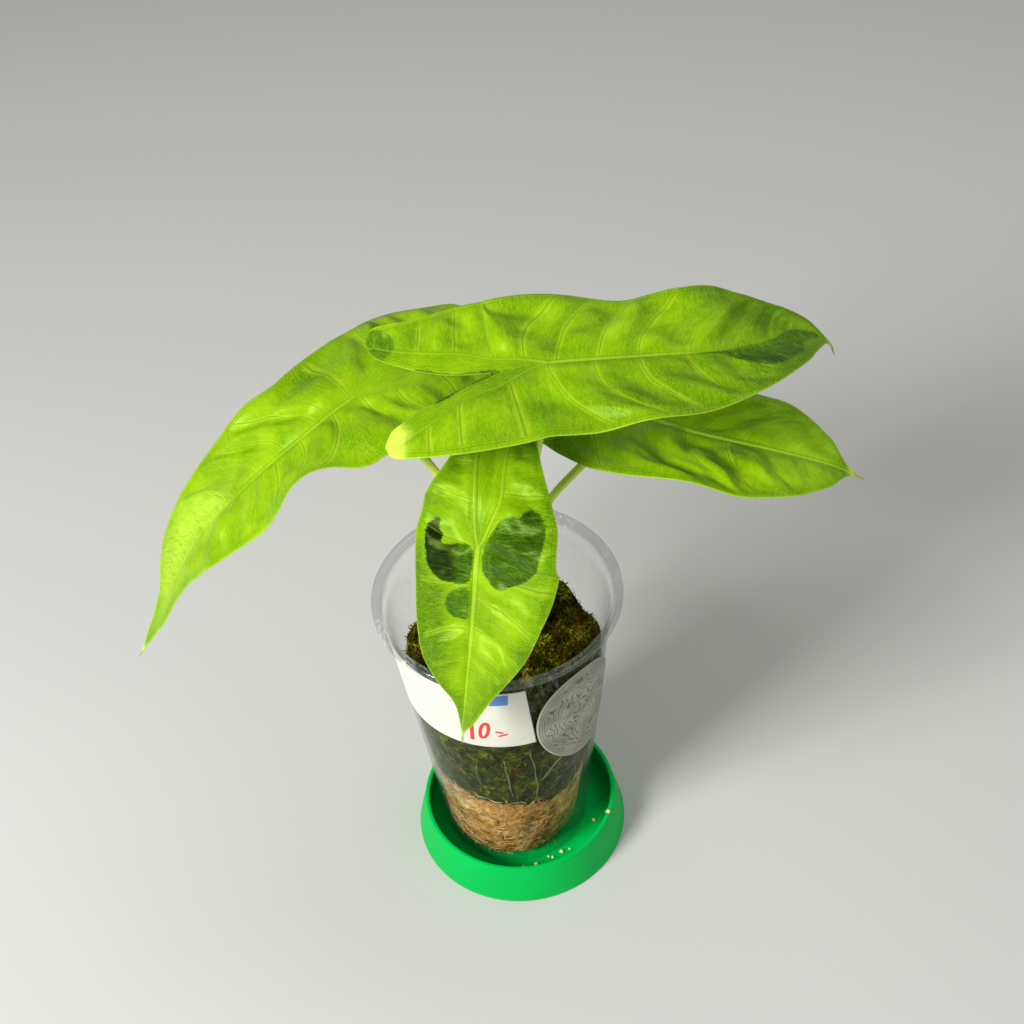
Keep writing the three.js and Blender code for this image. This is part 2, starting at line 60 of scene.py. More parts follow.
CUP_X, CUP_Y = -1.8, 3.6
CUP_FOOT_Z, CUP_RIM_Z = 3.3, 139.0
CUP_FOOT_RADIUS, CUP_RIM_RADIUS = 30.0, 47.5
CUP_WALL = 0.8
CUP_BASE_Z = 5.7
STEP_Z, STEP_RADIUS = 131.0, 43.0
FILL_BASE_Z = 6.85
LAYER_Z, LAYER_TILT, LAYER_LOW_ANGLE, LAYER_RIPPLE = 47.0, 5.5, -0.35, 1.4
MOSS_TOP_Z, MOSS_LUMP, MOSS_BANK, MOSS_BANK_ANGLE = 105.0, 2.2, 3.5, 0.9
HOLLOW_DEPTH, HOLLOW_TOP_Z = 3.6, 60.0
CORM_X, CORM_Y, CORM_FOOT_Z, CORM_TOP_Z, CORM_RADIUS = 0.0, 3.0, 80.0, 111.0, 8.0
RISE_PLACE = 30.0
STALK_DROP = 2.05
SAUCER_FOOT_RADIUS, SAUCER_RIM_RADIUS, SAUCER_HEIGHT = 44.3, 40.3, 17.6
SAUCER_INNER_RIM_RADIUS, SAUCER_FLOOR_RADIUS, SAUCER_FLOOR_Z = 38.5, 39.9, 3

# Each blade is laid out along its spine, as the solids are: u runs along the midrib, 0 at the
# stalk, and v out to either side, left positive. Rows are (u, value) pairs.
#
# spine, stalk_at    points of the midrib, and the number of the one that the stalk carries
# sinus, end         where the gap between the back lobes ends, and the blade's tip
# roll               turn about the midrib, in degrees
# shade, margin_shade, far_shade    darker green all over, partly own tone and partly painted shade; painted shade at the edge and towards the tip
# rib, rib_fade      the pale midrib's half width and strength, and how it fades to the tip
# bands, ridge       strength of the painted light and shade in bands between side veins, and height of the midrib's ridge
# fold, rise         for each side, degrees folded up, and how far it rises RISE_PLACE out
# outer, inner       its edges, and costa the rib of its back lobe, as distances out
# veins, sweep       where side veins leave the midrib, and how far, SWEEP_PLACE out, they have
#                    run on towards the tip
# marks              dark patches, as (tone, outline)
# dim, pale          painted shade over soft areas, and paler areas, a pale tip and the left blade's painted sheen, as (strength, softness, outline)

BLADES = {
    "top": {
        "seed": 11,
        "spine": [
            (-32, 4, 240), (-14, 1, 244), (4, 0, 246), (22, 2, 247), (55, -1, 249),
            (85, 1, 247), (107, 10, 242), (117, 13, 237), (120, 13, 231),
        ],
        "stalk_at": 3,
        "sinus": -18,
        "roll": [(-60, -7), (100, -7)],
        "shade": 0.22,
        "margin_shade": 0.0,
        "far_shade": 0.24,
        "rib": (0.5, 0.36),
        "rib_fade": 0.85,
        "bands": 0.22,
        "ridge": 0.3,
        "end": 106,
        "left": {
            "fold": 8,
            "rise": [
                (-60, 3), (-35, 1), (-15, -1), (5, -3), (25, -6), (45, 0), (62, 1), (80, 0),
                (100, -2),
            ],
            "outer": [
                (-64, 20), (-62.5, 23.5), (-58, 25), (-45, 26), (-25, 30), (-5, 31.5),
                (13, 29), (38, 27), (54, 27), (58, 26.8), (62, 26.3), (65, 25.9), (68, 25.5),
                (71, 24.8), (74, 23.8), (80, 21), (88, 14.3), (95, 8), (100, 3), (106, 0.5),
            ],
            "inner": [
                (-64, 20), (-62, 15), (-57, 11), (-50, 7.5), (-43, 4.5), (-33, 1.5), (-18, 0),
            ],
            "costa": [(-60, 17), (-47, 12.5), (-33, 10), (-22, 7.5), (-7, 2.5), (0, 0)],
            "veins": [-58, -45, -31, -17, -7, 3, 17, 30, 47, 62, 76, 88],
            "sweep": [
                (-60, -2), (-30, 0), (-16, -3), (-7, 5),
                (17, 6), (30, 10), (47, 21), (80, 24),
            ],
        },
        "right": {
            "fold": 10,
            "rise": [
                (-60, -8), (-40, -6), (-10, -5), (15, -6), (32, -2), (48, -4), (62, -3), (80, -4),
            ],
            "outer": [
                (-52, 26), (-50, 29.5), (-46, 31.5), (-31, 33), (-12, 32.5), (10, 32), (25, 32),
                (40, 30), (56, 25.5), (71, 17.5), (85, 11), (97, 3), (101, 1.5), (106, 0.5),
            ],
            "inner": [
                (-52, 26), (-50, 21), (-45, 17), (-40, 13), (-34, 9.5), (-26, 4), (-18, 0),
            ],
            "costa": [(-50, 27), (-38, 20.5), (-27.5, 11.5), (-17, 6.5), (0, 0)],
            "veins": [-46, -38, -29, -14, 0, 15, 30, 45, 58, 70, 82],
            "sweep": [(-50, 0), (-29, 1), (-14, 0), (0, 10), (30, 9), (45, 12), (80, 18)],
        },
        "marks": [
            (0.4, [
                (-66, 19), (-64, 24), (-58.5, 23.5), (-55, 21.5), (-53.5, 18), (-54, 14.5),
                (-58, 11), (-64, 13),
            ]),
            (0.8, [
                (56, -2), (59, -4.5), (62.5, -8), (66.5, -11), (71.5, -11.8), (77.5, -10),
                (84, -7), (88.5, -2), (96, 1), (91.5, 3.4), (86, 4.4), (80.5, 2.6), (74, 1.4),
                (66, 1), (60, 0.4), (50, -0.2), (50, -1.2),
            ]),
            (0.9, [(-46, 3), (-30, 0), (-17, -1), (-18, 1.3), (-25, 1.5), (-34, 2.3), (-44, 5.5)]),
            (1.0, [(-36, -10), (-26, -3), (-18, 0), (-19, -1.6), (-27, -5.4), (-35, -11.4)]),
        ],
        # Painted shade over the right half, and near the tip of the left half.
        "painted_shade": [
            (0.3, 9, [(0, -7), (-10, -36), (48, -34), (92, -14), (92, -1), (40, -3)]),
            (0.42, 9, [(54, 9), (50, 30), (80, 26), (94, 9), (84, 5)]),
        ],
        "pale": [
            (0.92, 2.5, [
                (-54, -25), (-51, -19), (-47, -18.5), (-44, -22.5), (-45, -27), (-45, -34),
                (-52, -33),
            ]),
        ],
    },
    "left": {
        "seed": 23,
        "spine": [
            (4, 57, 220), (-22, 35, 225), (-46, 22, 222), (-65, 12, 214), (-84, 8, 200),
            (-106, 6, 178), (-125, 4, 148), (-139, 3, 122), (-142, 3, 119),
        ],
        "stalk_at": 2,
        "sinus": -24,
        "roll": [(-60, 0), (0, 0), (50, 8), (100, 20), (140, 25)],
        "shade": 0.12,
        "margin_shade": 0.0,
        "far_shade": 0.0,
        "rib": (0.5, 0.22),
        "rib_fade": 0.4,
        "bands": 0.13,
        "ridge": 0.2,
        "end": 147,
        "left": {
            "fold": 10,
            "rise": [
                (-60, -8), (-20, -6), (5, -5), (15, -3), (25, 7), (36, 0), (46, -5), (60, -5),
                (80, -2), (100, -4),
            ],
            "outer": [
                (-62, 16), (-60, 23), (-54, 28.5), (-42, 32), (-20, 33), (5, 32), (13, 30.5),
                (19, 25.5), (23, 25), (27, 27.5), (32, 29), (38, 28), (46, 25.5), (60, 23),
                (72, 20), (84, 15), (97, 9.5), (108, 7.5), (119, 7), (133, 3.5), (143, 1.2),
                (147, 0.5),
            ],
            "inner": [(-62, 16), (-59, 11.5), (-53, 7.5), (-44, 4), (-34, 1.5), (-24, 0)],
            "costa": [(-60, 18), (-40, 14), (-20, 9), (-8, 4), (0, 0)],
            "veins": [-52, -40, -28, -14, -3, 9, 23, 34, 46, 58, 70, 83, 96, 110],
            "sweep": [(-60, 0), (-28, 2), (-3, -6), (9, 9), (23, 3), (46, 5), (70, 12), (110, 22)],
        },
        "right": {
            "fold": 6,
            "rise": [
                (-60, -6), (-40, -4), (-10, -4), (15, -3), (30, 0), (45, 3), (65, 2), (85, 1),
                (105, 0),
            ],
            "outer": [
                (-66, 21), (-64, 25), (-58, 29.5), (-50, 33), (-40, 34.5), (-10, 34.5), (5, 31),
                (20, 29), (36, 29), (47, 26), (65, 23), (81, 19), (97, 14.5), (104, 11),
                (113, 5), (122, 2.5), (133, 1.5), (143, 1), (147, 0.5),
            ],
            "inner": [(-66, 21), (-63, 15), (-57, 10), (-48, 5.5), (-38, 2.5), (-24, 0)],
            "costa": [(-62, 21), (-40, 14), (-20, 9), (-8, 4), (0, 0)],
            "veins": [-55, -42, -30, -17, 0, 15, 30, 44, 57, 70, 83, 96, 110],
            "sweep": [(-60, 0), (-17, 0), (0, 2), (15, 20), (44, 26), (83, 26), (110, 30)],
        },
        "marks": [],
        # Painted shade over the right half near the stalk.
        "painted_shade": [(0.3, 9, [(-30, -8), (-30, -36), (28, -32), (24, -16)])],
        # Painted sheen, streaked, over and beside the midrib towards the tip.
        "pale": [
            (0.34, 7, [
                (60, 1), (58, -8), (71, -12.5), (82.5, -14.5), (94, -15.5), (103, -10),
                (112, -5), (114, 1.5), (100, 2), (80, 1.5),
            ]),
        ],
    },
    "right": {
        "seed": 37,
        "spine": [
            (22, 38, 200), (35, 29, 205), (48, 20, 208), (72, 4, 209), (97, -6, 207),
            (115, -11, 203), (125, -14, 199), (128, -15, 198),
        ],
        "stalk_at": 2,
        "sinus": -20,
        "roll": [(-60, 0), (50, 0), (90, 6)],
        "shade": 0.08,
        "margin_shade": 0.2,
        "far_shade": 0.0,
        "rib": (0.95, 0.8),
        "rib_fade": 0.45,
        "bands": 0.22,
        "ridge": 1.0,
        "end": 88.5,
        "left": {
            "fold": 10,
            "rise": [(-60, -8), (0, -6), (40, -4), (62, -2), (90, -4)],
            "outer": [
                (-56, 18), (-54, 22.5), (-48, 26.5), (-38, 29), (-15, 30), (10, 29), (35, 26.5),
                (49, 24.5), (56, 23.5), (63, 21.5), (69, 18), (74, 13.5), (78.5, 8.5),
                (82.5, 4.5), (87, 1.2), (91, 0.5),
            ],
            "inner": [(-56, 18), (-54, 14), (-49, 10), (-40, 5), (-30, 2), (-20, 0)],
            "costa": [(-54, 18), (-40, 13), (-20, 7), (0, 0)],
            "veins": [-48, -36, -24, -12, 3, 17, 31, 45, 58, 70],
            "sweep": [(-50, 0), (-12, 2), (3, 10), (31, 25), (70, 25)],
        },
        "right": {
            "fold": 12,
            "rise": [
                (-60, -8), (-30, -7), (0, -8), (16, -5), (34, 0), (50, -3), (66, -4), (90, -6),
            ],
            "outer": [
                (-54, 14), (-52, 18), (-46, 21), (-35, 22.5), (-22, 24), (-10, 28), (4, 30.5),
                (25, 31.5), (46, 30.5), (55, 28), (66, 22.5), (72, 17.5), (78, 12), (81, 7.5),
                (84.5, 2.5), (88, 1.2), (91, 0.5),
            ],
            "inner": [(-54, 15), (-51, 10), (-44, 6), (-36, 3), (-28, 1), (-20, 0)],
            "costa": [(-52, 15), (-40, 11), (-20, 6), (0, 0)],
            "veins": [-46, -34, -22, -7, 12, 26, 40, 54, 66],
            "sweep": [(-50, 0), (-22, 2), (-7, 7), (12, 13), (40, 9), (66, 12)],
        },
        "marks": [],
        "painted_shade": [],
        "pale": [],
    },
    "front": {
        "seed": 53,
        "spine": [
            (5, 8, 220), (3, -6, 218), (-1, -23, 211), (-6, -32, 198), (-9, -38, 179),
            (-12, -44, 160), (-16, -52, 138), (-18, -54, 124), (-18.5, -54, 121.5),
        ],
        "stalk_at": 3,
        "sinus": -38,
        "roll": [(-60, -6), (80, -6)],
        "shade": 0.06,
        "margin_shade": 0.6,
        "far_shade": 0.0,
        "rib": (0.66, 0.4),
        "rib_fade": 0.25,
        "bands": 0.2,
        "ridge": 0.45,
        "end": 80,
        "left": {
            "fold": 14,
            "rise": [(-60, -8), (-20, -6), (0, -5), (20, -4), (40, -5), (80, -5)],
            "outer": [
                (-48, 8), (-46.5, 11), (-43, 13), (-36, 14.5), (-24, 19), (-17, 23.5), (-12, 29),
                (-4, 33), (6, 32.5), (18, 29.5), (33, 24.5), (42, 20), (50, 15), (58, 10),
                (69, 4.5), (76, 1.5), (80, 0.5),
            ],
            "inner": [(-48, 8), (-46, 4.5), (-43, 2), (-38, 0)],
            "costa": [(-48, 8), (-36, 4.2), (-26, 4), (-17, 4.5), (-11, 3.5), (-3.5, 2), (0, 0)],
            "veins": [-44, -32, -19, -8, 0, 9, 18, 31, 43, 54, 64],
            "sweep": [(-44, 0), (-19, 0), (0, -5), (18, 4), (31, 7), (64, 16)],
        },
        "right": {
            "fold": 14,
            "rise": [(-60, -8), (-20, -6), (20, -6), (40, -5), (80, -5)],
            "outer": [
                (-48, 7), (-46.5, 10), (-42, 13), (-33, 15.5), (-20, 21.5), (-8, 24.5), (8, 23.5),
                (25, 22.5), (38, 20.5), (46, 18), (52, 14), (57, 9.5), (61, 5), (66, 2.5),
                (74, 1.6), (80, 0.5),
            ],
            "inner": [(-48, 7), (-46, 4), (-43, 2), (-38, 0)],
            "costa": [(-48, 7), (-34, 6.5), (-25, 6), (-10, 3.5), (0, 0)],
            "veins": [-44, -30, -16, 0, 14, 32, 44, 55, 65],
            "sweep": [(-44, 0), (-16, -7), (0, -2), (14, 3), (32, 9), (65, 16)],
        },
        "marks": [
            (1.0, [
                (-4, -19.5), (-5, -17), (-2.5, -15.5), (-1, -13.5), (1, -12.5), (0.5, -8.5),
                (0.5, -1.8), (12, -1.6), (14.5, -4), (15, -8.5), (13.5, -15), (10, -18),
                (5, -18.8), (1, -19.6), (-1, -20.5),
            ]),
            (0.55, [
                (19, -9), (16, -5), (17, -2), (27.5, -1.6), (29, -4.5), (28, -9), (24, -10.5),
            ]),
            (0.68, [
                (4, 2.6), (-1, 3), (-7.5, 5.5), (-11, 7), (-13.5, 11), (-13.5, 13.5),
                (-15.5, 15), (-16, 17.5), (-14.5, 21.5), (-11, 25.5), (-5, 27), (1.5, 24.5),
                (7, 18.5), (11.5, 11), (10, 5),
            ]),
        ],
        # Painted shade along the right half's edge.
        "painted_shade": [(0.95, 6, [(15, -13), (15, -26), (50, -24), (46, -8), (30, -11)])],
        "pale": [],
    },
}

STALKS = {
    "top": {"foot": (3.2, 6.4), "via": [(6, 7.5, 150), (12, 7, 183), (17.5, 5, 210)]},
    "left": {
        "foot": (-3.4, 5.6),
        "via": [(-6, 6, 150), (-11, 8, 175), (-18.8, 11, 193), (-32, 16.5, 211)],
    },
    "right": {
        "foot": (4.4, 0.6),
        "via": [(6.5, 2, 140), (11.5, 5, 162), (19.3, 7, 178.5), (31.7, 11, 191)],
    },
    "front": {"foot": (-2.2, 0), "via": [(-2.5, -4, 145), (-4, -14, 172), (-5.5, -25, 188)]},
}


# Numbers and curves


def linear(hex_colour):
    """A colour of the screen, as rrggbb, in the scene's linear values."""
    parts = [int(hex_colour[i : i + 2], 16) / 255 for i in (0, 2, 4)]
    return tuple(c / 12.92 if c <= 0.04045 else ((c + 0.055) / 1.055) ** 2.4 for c in parts)


def ease(low, high, x):
    """A smooth step from 0 at low to 1 at high."""
    t = np.clip((np.asarray(x, float) - low) / (high - low), 0, 1)
    return t * t * (3 - 2 * t)


def bell(x, width):
    """1 at x = 0, falling off to either side."""
    return np.exp(-((x / width) ** 2))


def unit(vectors):
    return vectors / np.linalg.norm(vectors, axis=-1, keepdims=True)


def hermite(t, start, start_slope, end, end_slope):
    """The smooth way from start to end as t runs from 0 to 1, with the slope given at each."""
    return (
        (2 * t**3 - 3 * t**2 + 1) * start
        + (t**3 - 2 * t**2 + t) * start_slope
        + (3 * t**2 - 2 * t**3) * end
        + (t**3 - t**2) * end_slope
    )


def smooth_rows(rows, x):
    """A smooth value between the rows (x, y) of a table, held level past its ends."""
    xs, ys = np.array(rows, float).T
    slopes = np.empty(len(xs))
    slopes[1:-1] = (ys[2:] - ys[:-2]) / (xs[2:] - xs[:-2])
    slopes[0] = (ys[1] - ys[0]) / (xs[1] - xs[0])
    slopes[-1] = (ys[-1] - ys[-2]) / (xs[-1] - xs[-2])
    x = np.clip(np.asarray(x, float), xs[0], xs[-1])
    i = np.clip(np.searchsorted(xs, x) - 1, 0, len(xs) - 2)
    span = xs[i + 1] - xs[i]
    return hermite((x - xs[i]) / span, ys[i], slopes[i] * span, ys[i + 1], slopes[i + 1] * span)


def curve_through(points, steps, even):
    """Points on a smooth curve through the given ones; even spaces its knots alike."""
    p = np.array(points, float)
    p = np.vstack([2 * p[0] - p[1], p, 2 * p[-1] - p[-2]])
    found = []
    for i in range(1, len(p) - 2):
        p0, p1, p2, p3 = p[i - 1 : i + 3]
        t = np.linspace(0, 1, steps, endpoint=i == len(p) - 3)[:, None]
        if even:
            d0 = d1 = d2 = 1.0
        else:
            d0, d1, d2 = (
                np.linalg.norm(b - a) ** 0.5 for a, b in ((p0, p1), (p1, p2), (p2, p3))
            )
        m1 = ((p1 - p0) / d0 - (p2 - p0) / (d0 + d1) + (p2 - p1) / d1) * d1
        m2 = ((p2 - p1) / d1 - (p3 - p1) / (d1 + d2) + (p3 - p2) / d2) * d1
        found.append(hermite(t, p1, m1, p2, m2))
    return np.vstack(found)


def path_lengths(points):
    """How far along a path each of its points lies."""
    return np.r_[0, np.cumsum(np.linalg.norm(np.diff(points, axis=0), axis=1))]


def along_path(places, lengths, points):
    """What lies at the places of a path whose points lie at the lengths."""
    return np.stack([np.interp(places, lengths, points[:, k]) for k in range(3)], -1)


def even_steps(points, count):
    """The same path at count points, evenly spaced along it."""
    lengths = path_lengths(points)
    return along_path(np.linspace(0, lengths[-1], count), lengths, points)


def ripples(seed, x, y, shortest, longest, count=9):
    """Gentle random waves over x and y, about -1 to 1, with lengths between the two given."""
    draw = np.random.default_rng(seed)
    total = np.zeros(np.broadcast(x, y).shape)
    for _ in range(count):
        length = draw.uniform(shortest, longest)
        angle = draw.uniform(0, math.pi)
        start = draw.uniform(0, 2 * math.pi)
        along = np.cos(angle) * x + np.sin(angle) * y
        total = total + np.sin(2 * math.pi * along / length + start)
    return total / math.sqrt(count)


def line_distance(start, end, x, y):
    """Distance from each place to the straight line between two points."""
    (ax, ay), (bx, by) = start, end
    dx, dy = bx - ax, by - ay
    t = np.clip(((x - ax) * dx + (y - ay) * dy) / (dx * dx + dy * dy), 0, 1)
    return np.hypot(x - ax - t * dx, y - ay - t * dy)


def path_distance(path, x, y):
    """Distance from each place to the nearest of a path's straight lines."""
    return np.min([line_distance(a, b, x, y) for a, b in zip(path, path[1:])], axis=0)


def signed_distance(outline, x, y):
    """Distance to a closed outline, positive inside it."""
    corners = [tuple(corner) for corner in np.array(outline, float)]
    closed = corners + corners[:1]
    nearest = path_distance(closed, x, y)
    inside = np.zeros(x.shape, bool)
    for (ax, ay), (bx, by) in zip(closed, closed[1:]):
        if ay != by:
            inside ^= ((ay > y) != (by > y)) & (x < (bx - ax) * (y - ay) / (by - ay) + ax)
    return np.where(inside, nearest, -nearest)


def soft_outline(outline, steps=5):
    """The closed outline with its corners drawn into curves."""
    p = np.array(outline, float)
    found = []
    for p0, p1, p2, p3 in zip(np.roll(p, 1, 0), p, np.roll(p, -1, 0), np.roll(p, -2, 0)):
        for t in np.linspace(0, 1, steps, endpoint=False):
            line = p1 + (p2 - p0) * t / 2 + (p0 - 2.5 * p1 + 2 * p2 - p3 / 2) * t**2
            found.append(line + (1.5 * (p1 - p2) + (p3 - p0) / 2) * t**3)
    return found


def turn_angles(count):
    """Angles once round, evenly spaced."""
    return np.linspace(0, 2 * math.pi, count, endpoint=False)


def round_points(x, y, radius, angle, z):
    """Points about an upright axis at x and y."""
    z = np.broadcast_to(z, np.shape(angle))
    return np.stack([x + radius * np.cos(angle), y + radius * np.sin(angle), z], -1)


# Meshes and pieces


def mesh_of(name, points, faces, finish=None, values=None):
    """An object from millimetre points, with named values on its points."""
    mesh = bpy.data.meshes.new(name)
    mesh.from_pydata((np.asarray(points, float) * MM).tolist(), [], faces)
    mesh.validate()
    mesh.polygons.foreach_set("use_smooth", [True] * len(mesh.polygons))
    for key, data in (values or {}).items():
        layer = mesh.attributes.new(key, "FLOAT_VECTOR", "POINT")
        layer.data.foreach_set("vector", np.asarray(data, np.float32).ravel())
    if finish:
        mesh.materials.append(finish)
    thing = bpy.data.objects.new(name, mesh)
    bpy.context.scene.collection.objects.link(thing)
    return thing


def mount(piece, slot, *nodes):
    """Rides the piece on the plant and hides the solids of the nodes it stands for; slot is not
    used.
    """
    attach(piece, "root")
    if nodes:
        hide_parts(*nodes)


def loft(rings, closed_ends=True):
    """Points and faces of a skin over rings of equal count, given from first to last."""
    count = len(rings[0])
    points = np.vstack(rings)
    faces = []
    for r in range(len(rings) - 1):
        a, b = r * count, (r + 1) * count
        for i in range(count):
            j = (i + 1) % count
            faces.append((a + i, a + j, b + j, b + i))
    if closed_ends:
        first = len(points)
        points = np.vstack([points, rings[0].mean(0), rings[-1].mean(0)])
        last_ring = (len(rings) - 1) * count
        for i in range(count):
            j = (i + 1) % count
            faces.append((first, j, i))
            faces.append((first + 1, last_ring + i, last_ring + j))
    return points, faces


def turned(profile, segments, x=0.0, y=0.0):
    """A body turned about an upright axis from (radius, height) pairs, bottom centre first."""
    angle = turn_angles(segments)
    points, faces = loft([round_points(x, y, radius, angle, z) for radius, z in profile[1:-1]])
    points[-2] = (x, y, profile[0][1])
    points[-1] = (x, y, profile[-1][1])
    return points, faces


def rounded(profile, radius, steps=4):
    """The same profile with its inner corners rounded off."""
    found = [profile[0]]
    for before, corner, after in zip(profile, profile[1:], profile[2:]):
        c = np.array(corner, float)
        a, b = np.array(before, float) - c, np.array(after, float) - c
        reach = min(radius, 0.45 * np.linalg.norm(a), 0.45 * np.linalg.norm(b))
        start = c + a / np.linalg.norm(a) * reach
        end = c + b / np.linalg.norm(b) * reach
        for t in np.linspace(0, 1, steps + 1):
            found.append(tuple((1 - t) ** 2 * start + 2 * t * (1 - t) * c + t**2 * end))
    found.append(profile[-1])
    return found


def tube(path, radii, sides):
    """Points and faces of a round tube along a path, with closed ends."""
    along = unit(np.gradient(path, axis=0))
    side = np.cross(along[0], (0.0, 1.0, 0.0))
    side /= np.linalg.norm(side)
    angle = turn_angles(sides)
    rings = []
    for centre, direction, radius in zip(path, along, radii):
        side = side - direction * (side @ direction)
        side /= np.linalg.norm(side)
        other = np.cross(direction, side)
        rings.append(
            centre
            + radius * (np.outer(np.cos(angle), side) + np.outer(np.sin(angle), other))
        )
    return loft(rings)


def together(parts):
    """The points and faces of several parts as those of one."""
    points, faces, start = [], [], 0
    for more, its_faces in parts:
        points.append(more)
        faces += [tuple(start + i for i in face) for face in its_faces]
        start += len(more)
    return np.vstack(points), faces


# Node trees and finishes


class Tree:
    """A node tree, built node by node."""

    kinds = ""

    def __init__(self, tree):
        self.tree = tree

    def feed(self, socket, value):
        """Links a socket or sets it, a colour of three numbers as one that covers."""
        if isinstance(value, bpy.types.NodeSocket):
            self.tree.links.new(value, socket)
            return
        held = getattr(socket, "default_value", None)
        if hasattr(held, "__len__") and len(value) == 3 < len(held):
            value = (*value, 1.0)
        socket.default_value = value

    def add(self, kind, feeds=None, **settings):
        node = self.tree.nodes.new(self.kinds + kind)
        for key, value in settings.items():
            setattr(node, key, value)
        for key, value in (feeds or {}).items():
            self.feed(node.inputs[key], value)
        return node


class Finish(Tree):
    """A node material, built step by step around its one shader."""

    kinds = "ShaderNode"

    def __init__(self, name, **constants):
        self.material = bpy.data.materials.new(name)
        self.material.use_nodes = True
        super().__init__(self.material.node_tree)
        self.shader = self.tree.nodes["Principled BSDF"]
        self.paint(**constants)

    def paint(self, **feeds):
        for key, value in feeds.items():
            self.feed(self.shader.inputs[key.replace("_", " ")], value)
        return self.material

    def value(self, name):
        """A number held on the mesh's points."""
        return self.add("Attribute", attribute_name=name).outputs["Fac"]

    def split(self, name):
        """Three numbers held together on the mesh's points."""
        source = self.add("Attribute", attribute_name=name).outputs["Vector"]
        return tuple(self.add("SeparateXYZ", {0: source}).outputs)

    def place(self):
        return self.add("TexCoord").outputs["Object"]

    def join(self, x, y):
        return self.add("CombineXYZ", {0: x, 1: y}).outputs[0]

    def upright(self, z):
        """The piece's own place, with its heights stretched."""
        return self.add("Mapping", {"Vector": self.place(), "Scale": (1, 1, z)}).outputs[0]

    def math(self, operation, *values):
        return self.add("Math", dict(enumerate(values)), operation=operation).outputs[0]

    def plus(self, a, b):
        return self.math("ADD", a, b)

    def minus(self, a, b):
        return self.math("SUBTRACT", a, b)

    def times(self, a, b):
        return self.math("MULTIPLY", a, b)

    def most(self, a, b):
        return self.math("MAXIMUM", a, b)

    def apart(self, a, b):
        """How far a is from b."""
        return self.math("ABSOLUTE", self.minus(a, b))

    def humps(self, x, rate):
        """Rounded humps along x, with sharp valleys between them."""
        return self.math("ABSOLUTE", self.math("SINE", self.times(x, rate)))

    def swing(self, noise, size, middle=0.5):
        """The noise about 0, at the size given."""
        return self.times(self.minus(noise, middle), size)

    def step(self, x, low, high, start=0.0, end=1.0):
        """A smooth change from start at low to end at high."""
        node = self.add(
            "MapRange",
            {"Value": x, "From Min": low, "From Max": high, "To Min": start, "To Max": end},
            interpolation_type="SMOOTHSTEP",
        )
        return node.outputs[0]

    def noise(self, vector, scale, detail=3.0, rough=0.5, distortion=0.0):
        feeds = {"Scale": scale, "Detail": detail, "Roughness": rough, "Distortion": distortion}
        return self.add("TexNoise", {"Vector": vector, **feeds}).outputs["Fac"]

    def brushed(self, x, y, fine, coarse, rough=0.6, distortion=0.0):
        """Noise that is fine along x and drawn out along y."""
        place = self.join(self.times(x, fine), self.times(y, coarse))
        return self.noise(place, 1.0, 3, rough, distortion)

    def mix(self, share, a, b):
        return self.add("Mix", {0: share, 6: a, 7: b}, data_type="RGBA").outputs[2]

    def coats(self, base, *coats):
        """The base colour under coats of (share, colour), one over the other."""
        for share, colour in coats:
            base = self.mix(share, base, colour)
        return base

    def bump(self, height, depth, strength):
        feeds = {"Height": height, "Distance": depth, "Strength": strength}
        return self.add("Bump", feeds).outputs[0]


